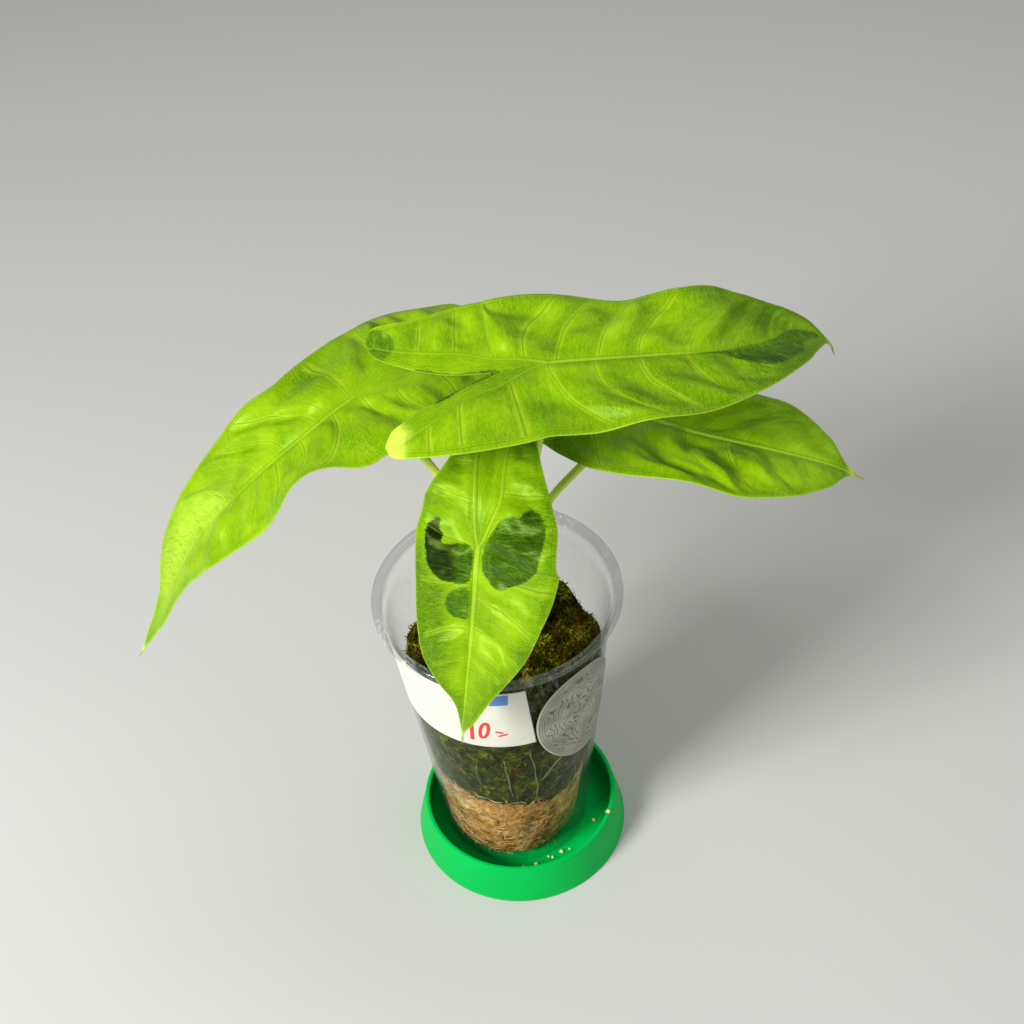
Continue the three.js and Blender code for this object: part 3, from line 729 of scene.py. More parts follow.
def blade_finish(colours):
    """Lime blade: fine streaks along the side veins, painted shade and light, dark patches, pale
    midrib, painted sheen, dry tip.
    """
    f = Finish(
        "blade_green", Roughness=0.33, Specular_IOR_Level=0.22, Specular_Tint=(0.65, 1.0, 0.2)
    )
    along, across, edge = f.split("blade_place")
    phase, run, out = f.split("blade_lines")
    patch, tone, pale = f.split("blade_marks")
    rib, gap, under = f.split("blade_ribs")
    shade, rib_strength, dry = f.split("blade_tones")

    flat = f.join(along, across)
    whiskers = f.brushed(run, out, 2.1, 0.3, distortion=0.4)
    streaks = f.brushed(run, out, 0.75, 0.12, distortion=0.3)
    cloud = f.noise(flat, 0.08, 3, 0.5)
    grain = f.noise(flat, 2.2, 3, 0.65)
    lit = f.step(f.apart(whiskers, 0.5), 0.06, 0.0)
    # Over the leaf's own streaks: painted shade where the shade value is high, painted light where
    # it falls below zero.
    base = f.coats(
        f.mix(f.step(cloud, 0.36, 0.64), colours.lime, colours.yellow),
        (f.step(streaks, 0.56, 0.36, 0.0, 0.13), colours.deep),
        (shade, colours.deep),
        (f.step(shade, 0.08, -0.3, 0.0, 0.35), colours.streak_and_painted_light),
        (f.times(lit, 0.32), colours.streak_and_painted_light),
        (f.step(whiskers, 0.55, 0.75, 0.0, 0.2), colours.deep),
    )

    # Side veins, reach millimetres away, with finer ones between them, lost towards the tip
    reach = f.times(f.math("ARCSINE", f.humps(phase, math.pi)), f.times(gap, 1 / math.pi))
    young = f.step(f.plus(run, f.times(grain, 12.0)), 66.0, 42.0, 0.15, 1.0)
    keep = f.times(f.times(f.step(out, 0.4, 2.0), f.step(edge, 0.8, 3.5)), young)
    vein = f.times(f.step(reach, 0.27, 0.08), keep)
    fine = f.times(f.step(f.humps(phase, 3 * math.pi), 0.08, 0.02), f.times(keep, 0.3))
    line = f.most(vein, fine)
    halo = f.times(f.step(reach, 1.4, 0.4, 0.0, 0.3), keep)

    # Dark patches, ragged at the edge and darker away from the midrib
    wander = f.plus(patch, f.swing(streaks, 2.0))
    wander = f.plus(wander, f.swing(whiskers, 1.5))
    wander = f.plus(wander, f.swing(grain, 1.4))
    inward = f.step(f.math("ABSOLUTE", across), 0.0, 11.0, 0.55, 1.05)
    depth = f.times(f.times(tone, inward), f.step(cloud, 0.7, 0.35, 0.75, 1.1))
    faint = f.minus(1.1, depth)
    dark = f.coats(
        f.mix(depth, colours.patch_light, colours.patch_dark),
        (f.times(lit, f.times(faint, 0.6)), colours.patch_streak),
        (f.times(f.step(streaks, 0.5, 0.66), f.times(faint, 0.4)), colours.patch_streak),
    )
    strength = f.step(tone, 0.0, 0.6, 0.35, 1.0)
    base = f.coats(
        base,
        (halo, colours.streak_and_painted_light),
        (f.times(f.step(wander, -0.3, 0.5), strength), dark),
        (f.times(line, 0.42), colours.vein),
        (f.times(f.step(rib, 1.5, 0.7), rib_strength), colours.rib),
        (f.step(f.apart(rib, 1.75), 0.4, 0.1, 0.0, 0.35), colours.vein),
    )

    # The double line inside the edge, the edge, the pale parts (a pale tip, and a painted sheen on
    # the left blade), the dry tip and the under face
    for inset, weight in ((1.9, 0.5), (2.9, 0.25)):
        ring = f.plus(f.apart(edge, inset), f.times(f.step(grain, 0.4, 0.7), 0.15))
        base = f.mix(f.step(ring, 0.26, 0.08, 0.0, weight), base, colours.vein)
    pale_and_sheen = f.most(f.step(whiskers, 0.38, 0.58, 0.4, 1.4), f.step(pale, 0.5, 0.7))
    base = f.coats(
        base,
        (f.step(edge, 0.6, 0.15, 0.0, 0.5), colours.rib),
        (f.times(pale, pale_and_sheen), colours.pale),
        (f.step(dry, 0.0, 0.6, 0.0, 0.8), colours.pale),
        (f.step(dry, 0.5, 1.0, 0.0, 0.9), colours.dry),
        (f.times(under, 0.55), colours.underside),
    )
    height = f.plus(f.times(whiskers, 0.6), f.times(grain, 0.2))
    height = f.minus(height, f.times(line, 0.7))
    return f.paint(Base_Color=base, Normal=f.bump(height, 0.0003, 0.5))


def stalk_finish(colours):
    """Pale stalks, striped lengthways, with the dry skin of older leaves at the foot."""
    f = Finish("stalk_green", Roughness=0.42, Specular_IOR_Level=0.4)
    around, along, foot = f.split("stalk_place")
    stripes = f.brushed(around, along, 5.0, 0.05, 0.5)
    spots = f.noise(f.join(around, f.times(along, 0.6)), 2.2, 3, 0.7)
    base = f.coats(
        f.mix(f.step(stripes, 0.35, 0.65), colours.stalk, colours.stalk_stripe),
        (f.step(spots, 0.62, 0.72, 0.0, 0.35), colours.deep),
        (f.step(foot, 0.25, 0.0, 0.0, 0.8), colours.sheath),
    )
    return f.paint(Base_Color=base, Normal=f.bump(stripes, 0.0002, 0.6))


def plastic_finish(colours):
    """Matt green printed plastic with fine level lines."""
    f = Finish(
        "green_plastic", Roughness=0.5, Specular_IOR_Level=0.25, Specular_Tint=(0.12, 1.0, 0.5)
    )
    place = f.place()
    cloud = f.noise(place, 60, 3)
    base = f.mix(f.step(cloud, 0.3, 0.75, 0.0, 0.4), colours.saucer, colours.saucer_light)
    feeds = {"Vector": place, "Scale": 420.0, "Distortion": 0.6, "Detail": 1.0}
    lines = f.add("TexWave", feeds, bands_direction="Z").outputs["Fac"]
    height = f.plus(f.times(lines, 0.7), f.times(f.noise(place, 2600, 2), 0.4))
    return f.paint(Base_Color=base, Normal=f.bump(height, 0.00012, 0.6))


def clear_finish(colours):
    """Clear plastic as a thin glossy film, milky where it is scuffed above the moss."""
    f = Finish("clear_plastic", Specular_IOR_Level=0.6)
    height = f.add("SeparateXYZ", {0: f.place()}).outputs[2]
    haze = f.noise(f.upright(0.5), 90, 5, 0.7, 0.5)
    scratch = f.noise(f.upright(0.12), 420, 2, 0.6, 1.2)
    above_moss = f.step(height, 0.108, 0.119, 0.02, 1.0)
    scuffs = f.times(f.step(haze, 0.5, 0.7), above_moss)
    scuffs = f.most(scuffs, f.times(f.step(scratch, 0.66, 0.76), above_moss))
    facing = f.add("LayerWeight", {"Blend": 0.5}).outputs["Facing"]
    glance = f.plus(f.times(f.math("POWER", facing, 5.0), 0.7), 0.002)
    rim = f.step(height, 0.1345, 0.136, 0.0, 0.2)
    return f.paint(
        Base_Color=f.mix(f.step(scuffs, 0.0, 0.5), colours.clear, colours.milky),
        Alpha=f.plus(f.plus(glance, rim), f.times(scuffs, 0.12)),
        Metallic=f.step(scuffs, 0.0, 0.6, 0.8, 0.0),
        Roughness=f.step(scuffs, 0.0, 1.0, 0.1, 0.4),
        Normal=f.bump(haze, 0.0002, 0.35),
    )


def moss_finish(name, clumps_per_m, low, middle, high, rust):
    """Damp moss with lighter and rusty clumps."""
    f = Finish(name, Roughness=0.85, Specular_IOR_Level=0.05)
    place = f.place()
    clump = f.noise(place, clumps_per_m, 5, 0.65, 0.4)
    fibres = f.noise(place, 900, 4, 0.7, 1.5)
    rusty = f.noise(place, 60, 3, 0.6, 0.5)
    base = f.coats(
        f.mix(f.step(clump, 0.35, 0.52), low, middle),
        (f.step(clump, 0.52, 0.68), high),
        (f.step(rusty, 0.54, 0.68, 0.0, 0.6), rust),
        (f.step(fibres, 0.5, 0.3, 0.0, 0.7), low),
    )
    return f.paint(Base_Color=base, Normal=f.bump(fibres, 0.0012, 0.9))


def tuft_finish(name, *shades):
    """Sprigs and strands whose own shade runs through the given colours."""
    f = Finish(name, Roughness=0.7, Specular_IOR_Level=0.05)
    shade = f.value("sprig_shade")
    steps = len(shades) - 1
    base = f.coats(
        shades[0],
        *((f.step(shade, i / steps, (i + 1) / steps), shades[i + 1]) for i in range(steps)),
        (f.step(f.noise(f.place(), 700, 2), 0.3, 0.7, 0.0, 0.35), shades[0]),
    )
    return f.paint(Base_Color=base)


def corm_finish(colours):
    """Dry brown skin in level bands."""
    f = Finish("corm_skin", Roughness=0.75)
    bands = f.noise(f.upright(4), 150, 4, 0.7)
    base = f.mix(f.step(bands, 0.35, 0.65), colours.corm, colours.sheath)
    return f.paint(Base_Color=base, Normal=f.bump(bands, 0.0008, 0.9))


def root_finish(colours):
    """Pale roots, darker in places."""
    f = Finish("root_white", Roughness=0.5)
    grain = f.noise(f.place(), 500, 4, 0.7)
    base = f.mix(f.step(grain, 0.35, 0.7), colours.root, colours.root_shade)
    return f.paint(Base_Color=base, Normal=f.bump(grain, 0.0003, 0.6))


def paper_finish(colours):
    """White paper with one blue block, red pen strokes and faint pencil lines."""
    f = Finish("label_paper", Roughness=0.62, Specular_IOR_Level=0.3)
    block, pen, pencil = f.split("label_ink")
    place = f.place()
    fibres = f.noise(place, 900, 3, 0.6)
    cloud = f.noise(place, 90, 3)
    base = f.coats(
        f.mix(f.step(cloud, 0.35, 0.7, 0.0, 0.6), colours.paper, colours.paper_shade),
        (f.step(fibres, 0.45, 0.7, 0.0, 0.25), colours.paper_shade),
        (f.step(block, -0.1, 0.15, 0.0, 0.9), colours.blue),
        (f.step(f.plus(pen, f.swing(fibres, 0.5)), -0.1, 0.15, 0.0, 0.95), colours.red),
        (f.step(f.plus(pencil, f.swing(fibres, 1.4, 0.62)), -0.1, 0.2, 0.0, 0.7), colours.pencil),
    )
    return f.paint(Base_Color=base, Normal=f.bump(fibres, 0.0001, 0.4))


def film_finish(colours):
    """Grey printed film with plain contour lines, which follow the rim near it."""
    f = Finish("sticker_film", Roughness=0.4, Specular_IOR_Level=0.45)
    x, y, edge = f.split("sticker_place")
    flat = f.join(x, y)
    bend = f.noise(flat, 0.09, 2, 0.5)
    lines = f.humps(f.plus(f.times(edge, 0.32), f.times(bend, 9.0)), math.pi * 1.1)
    near_rim = f.step(edge, 4.2, 3.4)
    pattern = f.plus(
        f.times(near_rim, f.humps(edge, math.pi * 0.9)), f.times(f.minus(1.0, near_rim), lines)
    )
    worn = f.step(f.noise(flat, 1.6, 3), 0.25, 0.5, 0.6, 1.0)
    base = f.coats(
        f.mix(f.step(bend, 0.35, 0.65), colours.film, colours.film_light),
        (f.times(f.times(f.step(pattern, 0.5, 0.22), worn), 0.9), colours.film_ink),
        (f.step(edge, 0.9, 0.5), colours.film_light),
    )
    return f.paint(Base_Color=base)


def floor_finish(stage):
    """Plain matt floor, clouded a little."""
    f = Finish("floor", Roughness=0.9, Specular_IOR_Level=0.2)
    cloud = f.noise(f.place(), 3, 2)
    base = f.mix(f.step(cloud, 0.3, 0.7, 0.0, 0.15), stage.floor, (0.55, 0.55, 0.55))
    return f.paint(Base_Color=base)


# Properties


def colour(name, about, hex_colour):
    return bpy.props.FloatVectorProperty(
        name=name, description=about, default=linear(hex_colour), subtype="COLOR", min=0, max=1
    )


def length(name, about, millimetres):
    return bpy.props.FloatProperty(
        name=name, description=about, default=millimetres * MM, unit="LENGTH", min=0
    )


class BladeSettings(bpy.types.PropertyGroup):
    thickness: length("Thickness", "Thickness of a blade away from its edge", 0.6)
    pucker: length("Pucker", "Height of the swellings between side veins", 1.3)
    lime: colour("Lime", "Main green of the blades", "70a002")
    yellow: colour("Yellow", "Sunnier green of the blades", "84ae04")
    # Also the painted shade of the blades.
    deep: colour("Deep", "Shaded green of the blades", "3a6802")
    # Also the painted light of the bands between side veins.
    streak_and_painted_light: colour("Streak", "Fine pale streaks", "aaca26")
    vein: colour("Vein", "Thin side veins", "3e6602")
    rib: colour("Rib", "Midrib and edge", "b0d03c")
    # Also the painted sheen on the left blade.
    pale: colour("Pale", "Pale parts of the blades", "c0dc4c")
    dry: colour("Dry tip", "Dried end of a blade's tip", "a8906a")
    underside: colour("Underside", "Under face of the blades", "94b648")
    patch_light: colour("Light patch", "Lighter dark-green patches", "3c7404")
    patch_dark: colour("Dark patch", "Darkest patches", "061a00")
    patch_streak: colour("Patch streak", "Streaks in the patches", "86ae2c")
    stalk: colour("Stalk", "Main green of the stalks", "dcee68")
    stalk_stripe: colour("Stalk stripe", "Stripes of the stalks", "bcdc42")
    sheath: colour("Sheath", "Dry skin round the stalks' feet", "7a6238")
    corm: colour("Corm", "Skin of the corm", "3c2818")


class PotSettings(bpy.types.PropertyGroup):
    saucer: colour("Saucer", "Green plastic", "00b44a")
    saucer_light: colour("Saucer light", "Lighter green plastic", "00c254")
    clear: colour("Clear plastic", "Tint of the cup", "8e9894")
    milky: colour("Scuffs", "Milky scuffs on the cup", "dfe5e2")
    paper: colour("Paper", "Label paper", "e2e2d4")
    paper_shade: colour("Paper shade", "Shade in the label paper", "d4d4c4")
    blue: colour("Blue", "Block on the label", "3470c4")
    red: colour("Red", "Pen strokes on the label", "e01c10")
    pencil: colour("Pencil", "Faint lines on the label", "84847a")
    film: colour("Film", "Sticker", "8a8a7c")
    film_light: colour("Film light", "Lighter parts of the sticker", "aaaa98")
    film_ink: colour("Film ink", "Lines on the sticker", "3c3c36")


class FillingSettings(bpy.types.PropertyGroup):
    seed: bpy.props.IntProperty(name="Seed", description="Seed of the scatter", default=4)
    sprigs: bpy.props.FloatProperty(
        name="Sprigs", description="Sprigs on each square metre of moss", default=620000
    )
    strands: bpy.props.FloatProperty(
        name="Strands", description="Strands on each square metre of wall", default=230000
    )
    moss: colour("Moss", "Dark living moss", "161c04")
    moss_middle: colour("Moss middle", "Olive moss", "384204")
    moss_light: colour("Moss light", "Yellow-green clumps", "848c14")
    rust: colour("Rust", "Rusty brown moss", "604210")
    tan: colour("Tan", "Dead moss at the bottom", "d09c4a")
    tan_light: colour("Tan light", "Paler dead moss", "f8dc9a")
    tan_dark: colour("Tan dark", "Brown moss at the bottom", "66501c")
    root: colour("Root", "White roots", "747a42")
    root_shade: colour("Root shade", "Shaded roots", "50582a")


class StageSettings(bpy.types.PropertyGroup):
    floor: colour("Floor", "Plain pale floor", "c4c4c0")
    key: bpy.props.FloatProperty(name="Key", description="Key light in watts", default=20.5)
    fill: bpy.props.FloatProperty(name="Fill", description="Fill light in watts", default=2.0)
    sky: bpy.props.FloatProperty(name="Sky", description="Strength of the room light", default=0.3)


# Blades

BLADE_ROWS_PER_MM, BLADE_COLUMNS = 1.35, 45
SWEEP_PLACE = 20.0
GROOVE_DEPTH, LOBE_GROOVE_DEPTH, GROOVE_WIDTH = 0.55, 0.35, 1.5
UNDER_RIB_DEPTH, UNDER_RIB_WIDTH, UNDER_RIB_START = 1.3, 1.3, -8
LOBE_RIB_DEPTH, LOBE_RIB_WIDTH = 0.5, 1.2
DRY_TIP = 9
OUTSIDE_PATCHES = -20.0
LOBE_STREAKS = 200
STALK_RADIUS, STALK_SIDES, STALK_STEPS, STALK_LENGTH = 1.5, 24, 110, 130


class BladeForm:
    """The curved middle surface of a blade, in millimetres."""

    steps = 80

    def __init__(self, table):
        self.table = table
        self.spine = curve_through(table["spine"], self.steps, even=True)
        lengths = path_lengths(self.spine)
        self.places = lengths - lengths[self.steps * table["stalk_at"]]
        self.tangents = unit(np.gradient(self.spine, self.places, axis=0))

    def frame_at(self, u):
        """Point, sideways and upward directions of the spine, straight on past its ends."""
        first, last = self.places[0], self.places[-1]
        along = unit(along_path(u, self.places, self.tangents))
        past = np.where(u < first, u - first, np.where(u > last, u - last, 0))
        point = along_path(u, self.places, self.spine) + along * past[..., None]
        normal = unit(np.array([0, 0, 1.0]) - along * along[..., 2:3])
        side = np.cross(normal, along)
        roll = np.radians(smooth_rows(self.table["roll"], u))[..., None]
        return (
            point,
            np.cos(roll) * side - np.sin(roll) * normal,
            np.cos(roll) * normal + np.sin(roll) * side,
        )

    def at(self, u, v):
        u, v = np.broadcast_arrays(np.asarray(u, float), np.asarray(v, float))
        point, side, normal = self.frame_at(u)
        left, right = self.table["left"], self.table["right"]
        fold = np.radians(np.where(v > 0, left["fold"], right["fold"]))
        rise = np.where(v > 0, smooth_rows(left["rise"], u), smooth_rows(right["rise"], u))
        out = np.abs(v)
        lift = out * np.sin(fold) + rise * (out / RISE_PLACE) ** 2
        return point + side * (v * np.cos(fold))[..., None] + normal * lift[..., None]

    def normal_at(self, u, v):
        step = 0.5
        along = self.at(u + step, v) - self.at(u - step, v)
        across = self.at(u, v + step) - self.at(u, v - step)
        return unit(np.cross(along, across))


def vein_run(half, u, out):
    """Where on the midrib the side vein through a point leaves it, by halving a range."""
    share = (out / SWEEP_PLACE) ** 2
    low = np.full(u.shape, u.min() - 60.0)
    high = np.full(u.shape, u.max() + 20.0)
    for _ in range(24):
        middle = (low + high) / 2
        beyond = middle + smooth_rows(half["sweep"], middle) * share > u
        high = np.where(beyond, middle, high)
        low = np.where(beyond, low, middle)
    return (low + high) / 2


class BladeSide:
    """One side of a blade: a grid of places, with what its shape and finish need at each."""

    def __init__(self, table, name, sign):
        self.table, self.half, self.sign = table, table[name], sign
        self.seed, self.tip = table["seed"] + sign, table["end"]
        self.lay_out()
        self.measure()

    def lay_out(self):
        """Rows from the back lobe's tip to the blade's tip, columns from the inside out."""
        half, tip, sinus = self.half, self.tip, self.table["sinus"]
        start = half["outer"][0][0] + 0.02
        self.lobe_rows = int((sinus - start) * BLADE_ROWS_PER_MM)
        body_rows = int((tip - sinus) * BLADE_ROWS_PER_MM)
        lobe = np.linspace(0, 1, self.lobe_rows, endpoint=False) ** 1.5
        body = np.linspace(0, 1, body_rows)
        u = np.r_[start + (sinus - start) * lobe, sinus + (tip - sinus) * body]
        self.inner = np.where(u < sinus, smooth_rows(half["inner"], u), 0.0)[:, None]
        slim = (1 - 0.45 * ease(tip - 13, tip - 5, u)) * (1 - 0.6 * ease(tip - 2, tip, u))
        outer = (smooth_rows(half["outer"], u) * slim)[:, None]
        self.outer = np.maximum(outer, self.inner + 0.1)
        share = np.linspace(0, 1, BLADE_COLUMNS) ** 1.2
        self.v = self.inner + (self.outer - self.inner) * share
        self.u = np.broadcast_to(u[:, None], self.v.shape)

    def measure(self):
        """Distances to the edge and the ribs, and the course of the side veins."""
        half, u, v = self.half, self.u, self.v
        self.off_rib = v - np.where(u < 0, smooth_rows(half["costa"], u), 0.0)
        self.out = np.maximum(self.off_rib, 0)
        self.run = vein_run(half, u, self.out)
        veins = np.array(half["veins"], float)
        veins = np.r_[veins[0] - 40, veins[0] - 12, veins, veins[-1] + 12, veins[-1] + 40]
        self.phase = np.interp(self.run, veins, np.arange(len(veins)))
        self.gap = np.interp(self.run, (veins[1:] + veins[:-1]) / 2, np.diff(veins))
        edge = np.minimum(self.outer - v, u - half["outer"][0][0])
        self.edge = np.where(self.inner > 0, np.minimum(edge, v - self.inner + 0.2), edge)
        self.thin = 1 - 0.75 * ease(0, self.tip, u)

    def relief(self, pucker):
        """Height of the swellings, the groove and the rib in it, less towards the tip."""
        u, v, tip, run, out, edge = self.u, self.v, self.tip, self.run, self.out, self.edge
        reach = ease(0.5, 6, out) * ease(0, 7, edge)
        swell = np.abs(np.sin(math.pi * self.phase)) ** 1.1 - 0.5
        strength = 0.7 + 0.3 * ripples(self.seed + 3, self.phase * 3.7, 1.0, 3, 9)
        height = pucker * swell * strength * reach * (1 - 0.6 * ease(0.5 * tip, 0.9 * tip, u))
        calm = 1 - 0.7 * ease(0.45 * tip, 0.75 * tip, u)
        height += 1.1 * calm * ripples(self.seed, run, 0.7 * out, 13, 28) * reach
        height += 0.42 * calm * ripples(self.seed + 4, run, 0.8 * out, 6, 12) * reach
        height += 0.5 * ripples(self.seed + 6, u, v, 16, 34) * ease(0, 8, v) * ease(-2, 9, edge)
        height += 0.09 * ripples(self.seed + 1, run, 0.5 * out, 2.5, 5) * reach
        groove = np.where(u < 0, LOBE_GROOVE_DEPTH, GROOVE_DEPTH) * self.thin
        ridge = self.table["ridge"]
        height -= groove * bell(self.off_rib, GROOVE_WIDTH)
        height += ridge * self.thin * bell(self.off_rib, 0.3 + 0.5 * ridge)
        return height

    def under_rib(self):
        """Depth of the rib under the midrib, and of the one under the back lobe."""
        u, v = self.u, self.v
        lobe = np.clip(1 - np.minimum(u, 0) / UNDER_RIB_START, 0, 1)
        depth = UNDER_RIB_DEPTH * lobe * np.clip(1 - u / self.tip, 0, 1) ** 0.6
        costa = np.where(u < 0, LOBE_RIB_DEPTH * bell(self.off_rib, LOBE_RIB_WIDTH), 0)
        return depth * bell(v, UNDER_RIB_WIDTH) + costa

    def surfaces(self, form, settings):
        """Points of the upper and the under face."""
        normal = form.normal_at(self.u, self.sign * self.v)
        full = settings.thickness / MM
        thick = full * (0.45 + 0.55 * ease(0, 3, self.edge)) * ease(-1, 1, self.edge)
        height = self.relief(settings.pucker / MM)
        middle = form.at(self.u, self.sign * self.v)
        top = middle + normal * (height + thick / 2)[..., None]
        bottom = middle + normal * (height - thick / 2 - self.under_rib())[..., None]
        return top.reshape(-1, 3), bottom.reshape(-1, 3)

    def inside(self, outline):
        """How far inside an outline on the blade each place lies."""
        return signed_distance(outline, self.u, self.sign * self.v)

    def marks(self):
        """Distance into the nearest dark patch, its tone, and how pale each place is: a pale tip,
        and a painted sheen on the left blade.
        """
        patch = np.full(self.u.shape, OUTSIDE_PATCHES)
        tone, pale = np.zeros(self.u.shape), np.zeros(self.u.shape)
        for strength, outline in self.table["marks"]:
            distance = self.inside(soft_outline(outline))
            tone = np.where(distance > patch, strength, tone)
            patch = np.maximum(patch, distance)
        for strength, soft, outline in self.table["pale"]:
            pale = np.maximum(pale, strength * ease(-soft, soft, self.inside(outline)))
        return patch, tone, pale

    def shade(self):
        """Painted shade on the green: random clouds of tone, painted light and shade in bands
        between the veins, and the table's painted shade at the edge, in soft areas and towards the
        tip.
        """
        table, u, edge = self.table, self.u, self.edge
        # Painted light and shade in bands beside the side veins, darker on one side of each vein
        # and lighter on the other.
        painted_shading = -self.sign * np.sin(2 * math.pi * self.phase)
        painted_shading = painted_shading * ease(1, 8, self.out) * ease(1, 8, edge)
        patchy = 0.65 + 0.35 * ripples(table["seed"] + 7, u, self.v, 12, 30)
        painted_shading *= patchy * (1 - 0.6 * ease(40, 70, u))
        clouds = ripples(table["seed"] + 5, u, self.sign * self.v, 14, 45)
        shade = table["shade"] + 0.9 * table["bands"] * clouds + table["bands"] * painted_shading
        # Painted shade along the edge, over the table's soft areas and towards the tip.
        shade = shade + table["margin_shade"] * ease(13, 1, edge)
        for strength, soft, outline in table["painted_shade"]:
            shade = shade + strength * ease(-soft, soft, self.inside(outline))
        return np.clip(shade + table["far_shade"] * ease(30, 85, u), -0.4, 0.9)

    def streak_lines(self):
        """Two measures that the streaks follow: the side veins, or a back lobe's own rib."""
        run = vein_run(self.half, self.u, np.minimum(self.out, 14))
        within = -self.off_rib
        return (
            np.where(within > 0, LOBE_STREAKS + within, run),
            np.where(within > 0, self.u, self.out),
        )

    def values(self):
        """What the finish reads at each point, of the upper face and then of the under face."""
        u = self.u
        rib_width, rib_strength = self.table["rib"]
        rib = np.abs(self.off_rib) / (rib_width * (0.3 + 0.7 * self.thin) * np.where(u < 0, 0.7, 1))
        rib_shown = rib_strength * np.where(u < 0, 1 - 0.6 * ease(-2, -26, u), 1)
        rib_shown = rib_shown * (1 - self.table["rib_fade"] * ease(30, 66, u))
        patch, tone, pale = self.marks()
        rows = {
            "blade_place": (u, self.sign * self.v, self.edge),
            "blade_lines": (self.phase, *self.streak_lines()),
            "blade_marks": (patch, tone, pale),
            "blade_ribs": (rib, self.gap, np.zeros(u.shape)),
            "blade_tones": (self.shade(), rib_shown, ease(self.tip - DRY_TIP, self.tip - 1, u)),
        }
        found = {key: np.stack(row, -1).reshape(-1, 3) for key, row in rows.items()}
        under = dict(found, blade_ribs=found["blade_ribs"] + (0, 0, 1))
        return {key: np.vstack([found[key], under[key]]) for key in rows}

    def faces(self, first):
        """Faces of both skins and of the edge between them, the side's points from first on."""
        rows, columns = self.u.shape
        flip = self.sign < 0
        found = []

        def at(k, j, under=0):
            return first + under * rows * columns + k * columns + j

        def quad(a, b, c, d, turn):
            found.append((a, d, c, b) if turn else (a, b, c, d))

        def wall(k, j, to_k, to_j, turn):
            quad(at(k, j), at(to_k, to_j), at(to_k, to_j, 1), at(k, j, 1), turn)

        end, last = columns - 1, rows - 1
        for k in range(last):
            for j in range(end):
                for under in (0, 1):
                    corners = [(k, j), (k + 1, j), (k + 1, j + 1), (k, j + 1)]
                    quad(*(at(*corner, under) for corner in corners), flip ^ bool(under))
            wall(k, end, k + 1, end, flip)
            if k < self.lobe_rows:
                wall(k, 0, k + 1, 0, not flip)
        for j in range(end):
            wall(0, j, 0, j + 1, flip)
            wall(last, j, last, j + 1, not flip)
        return found

    def midrib(self, first, under):
        """Numbers of the points on the midrib, the side's points from first on."""
        rows, columns = self.u.shape
        return first + under * rows * columns + columns * np.arange(self.lobe_rows, rows)


def make_blade(place, settings, finish):
    """A blade of even thickness, thinner at its edge, with swellings, veins and patches."""
    table = BLADES[place]
    form = BladeForm(table)
    left, right = BladeSide(table, "left", 1), BladeSide(table, "right", -1)
    second = 2 * left.u.size
    points = np.vstack([*left.surfaces(form, settings), *right.surfaces(form, settings)])
    faces = left.faces(0) + right.faces(second)
    # The two sides share the points of the midrib.
    same = np.arange(len(points))
    for under in (0, 1):
        a, b = left.midrib(0, under), right.midrib(second, under)
        same[b] = a
        points[a] = (points[a] + points[b]) / 2
    kept, index = np.unique(same, return_inverse=True)
    faces = [tuple(int(index[i]) for i in face) for face in faces]
    faces = [face for face in faces if len(set(face)) == 4]
    of_left, of_right = left.values(), right.values()
    values = {key: np.vstack([of_left[key], of_right[key]])[kept] for key in of_left}
    piece = mesh_of(f"blade_{place}_skin", points[kept], faces, finish, values)
    mount(piece, "blade_green", f"blade_{place}")


def stalk_path(place):
    """The middle of a stalk, from the corm's crown into the blade's underside."""
    stalk = STALKS[place]
    form = BladeForm(BLADES[place])
    zero = np.zeros(1)
    seat = form.at(zero, zero)[0]
    normal = form.normal_at(zero, zero)[0]
    foot_z = CORM_TOP_Z + 0.3
    points = [(*stalk["foot"], foot_z - 2), (*stalk["foot"], foot_z + 6), *stalk["via"]]
    points += [seat - normal * drop for drop in (STALK_DROP + 5, STALK_DROP - 0.4, 0.55)]
    return even_steps(curve_through(points, 40, even=False), STALK_STEPS)


def make_stalk(place, finish):
    """A round stalk with five faint ribs, thicker at its foot."""
    path = stalk_path(place)
    share = np.linspace(0, 1, STALK_STEPS)
    radii = STALK_RADIUS + np.clip(1 - share * 2.5, 0, 1) ** 1.5 + 0.25 * ease(0.97, 1, share)
    points, faces = tube(path, radii, STALK_SIDES)
    angle = np.tile(turn_angles(STALK_SIDES), STALK_STEPS)
    share = np.repeat(share, STALK_SIDES)
    out = unit(points[:-2] - np.repeat(path, STALK_SIDES, 0))
    points[:-2] += out * (0.08 * np.sin(5 * angle)[:, None])
    places = np.stack([np.cos(angle), share * STALK_LENGTH, share], -1)
    ends = [[0, 0, 0], [0, STALK_LENGTH, 1]]
    values = {"stalk_place": np.vstack([places, ends])}
    piece = mesh_of(f"stalk_{place}_skin", points, faces, finish, values)
    mount(piece, "stalk_green", f"stalk_{place}")


# Filling

FILL_GAP = 0.5
FILL_MEAN_RADIUS = 36
WALL_SEGMENTS, WALL_STEPS, TOP_STEPS = 200, 64, 30
BED_SEGMENTS = 120


def wall_outer(z):
    """The cup's outer radius at a height."""
    slope = (STEP_RADIUS - CUP_FOOT_RADIUS) / (STEP_Z - CUP_FOOT_Z)
    return CUP_FOOT_RADIUS + slope * (np.asarray(z, float) - CUP_FOOT_Z)


def hollow(angle, z):
    """How far the filling has shrunk from the wall, at the foot and to one side."""
    facing = np.clip(np.cos(angle - LAYER_LOW_ANGLE), 0, 1)
    low = np.clip((HOLLOW_TOP_Z - z) / HOLLOW_TOP_Z, 0, 1)
    return HOLLOW_DEPTH * facing**2 * np.sqrt(low)


def fill_radius(angle, z):
    return wall_outer(z) - CUP_WALL - FILL_GAP - hollow(angle, z)


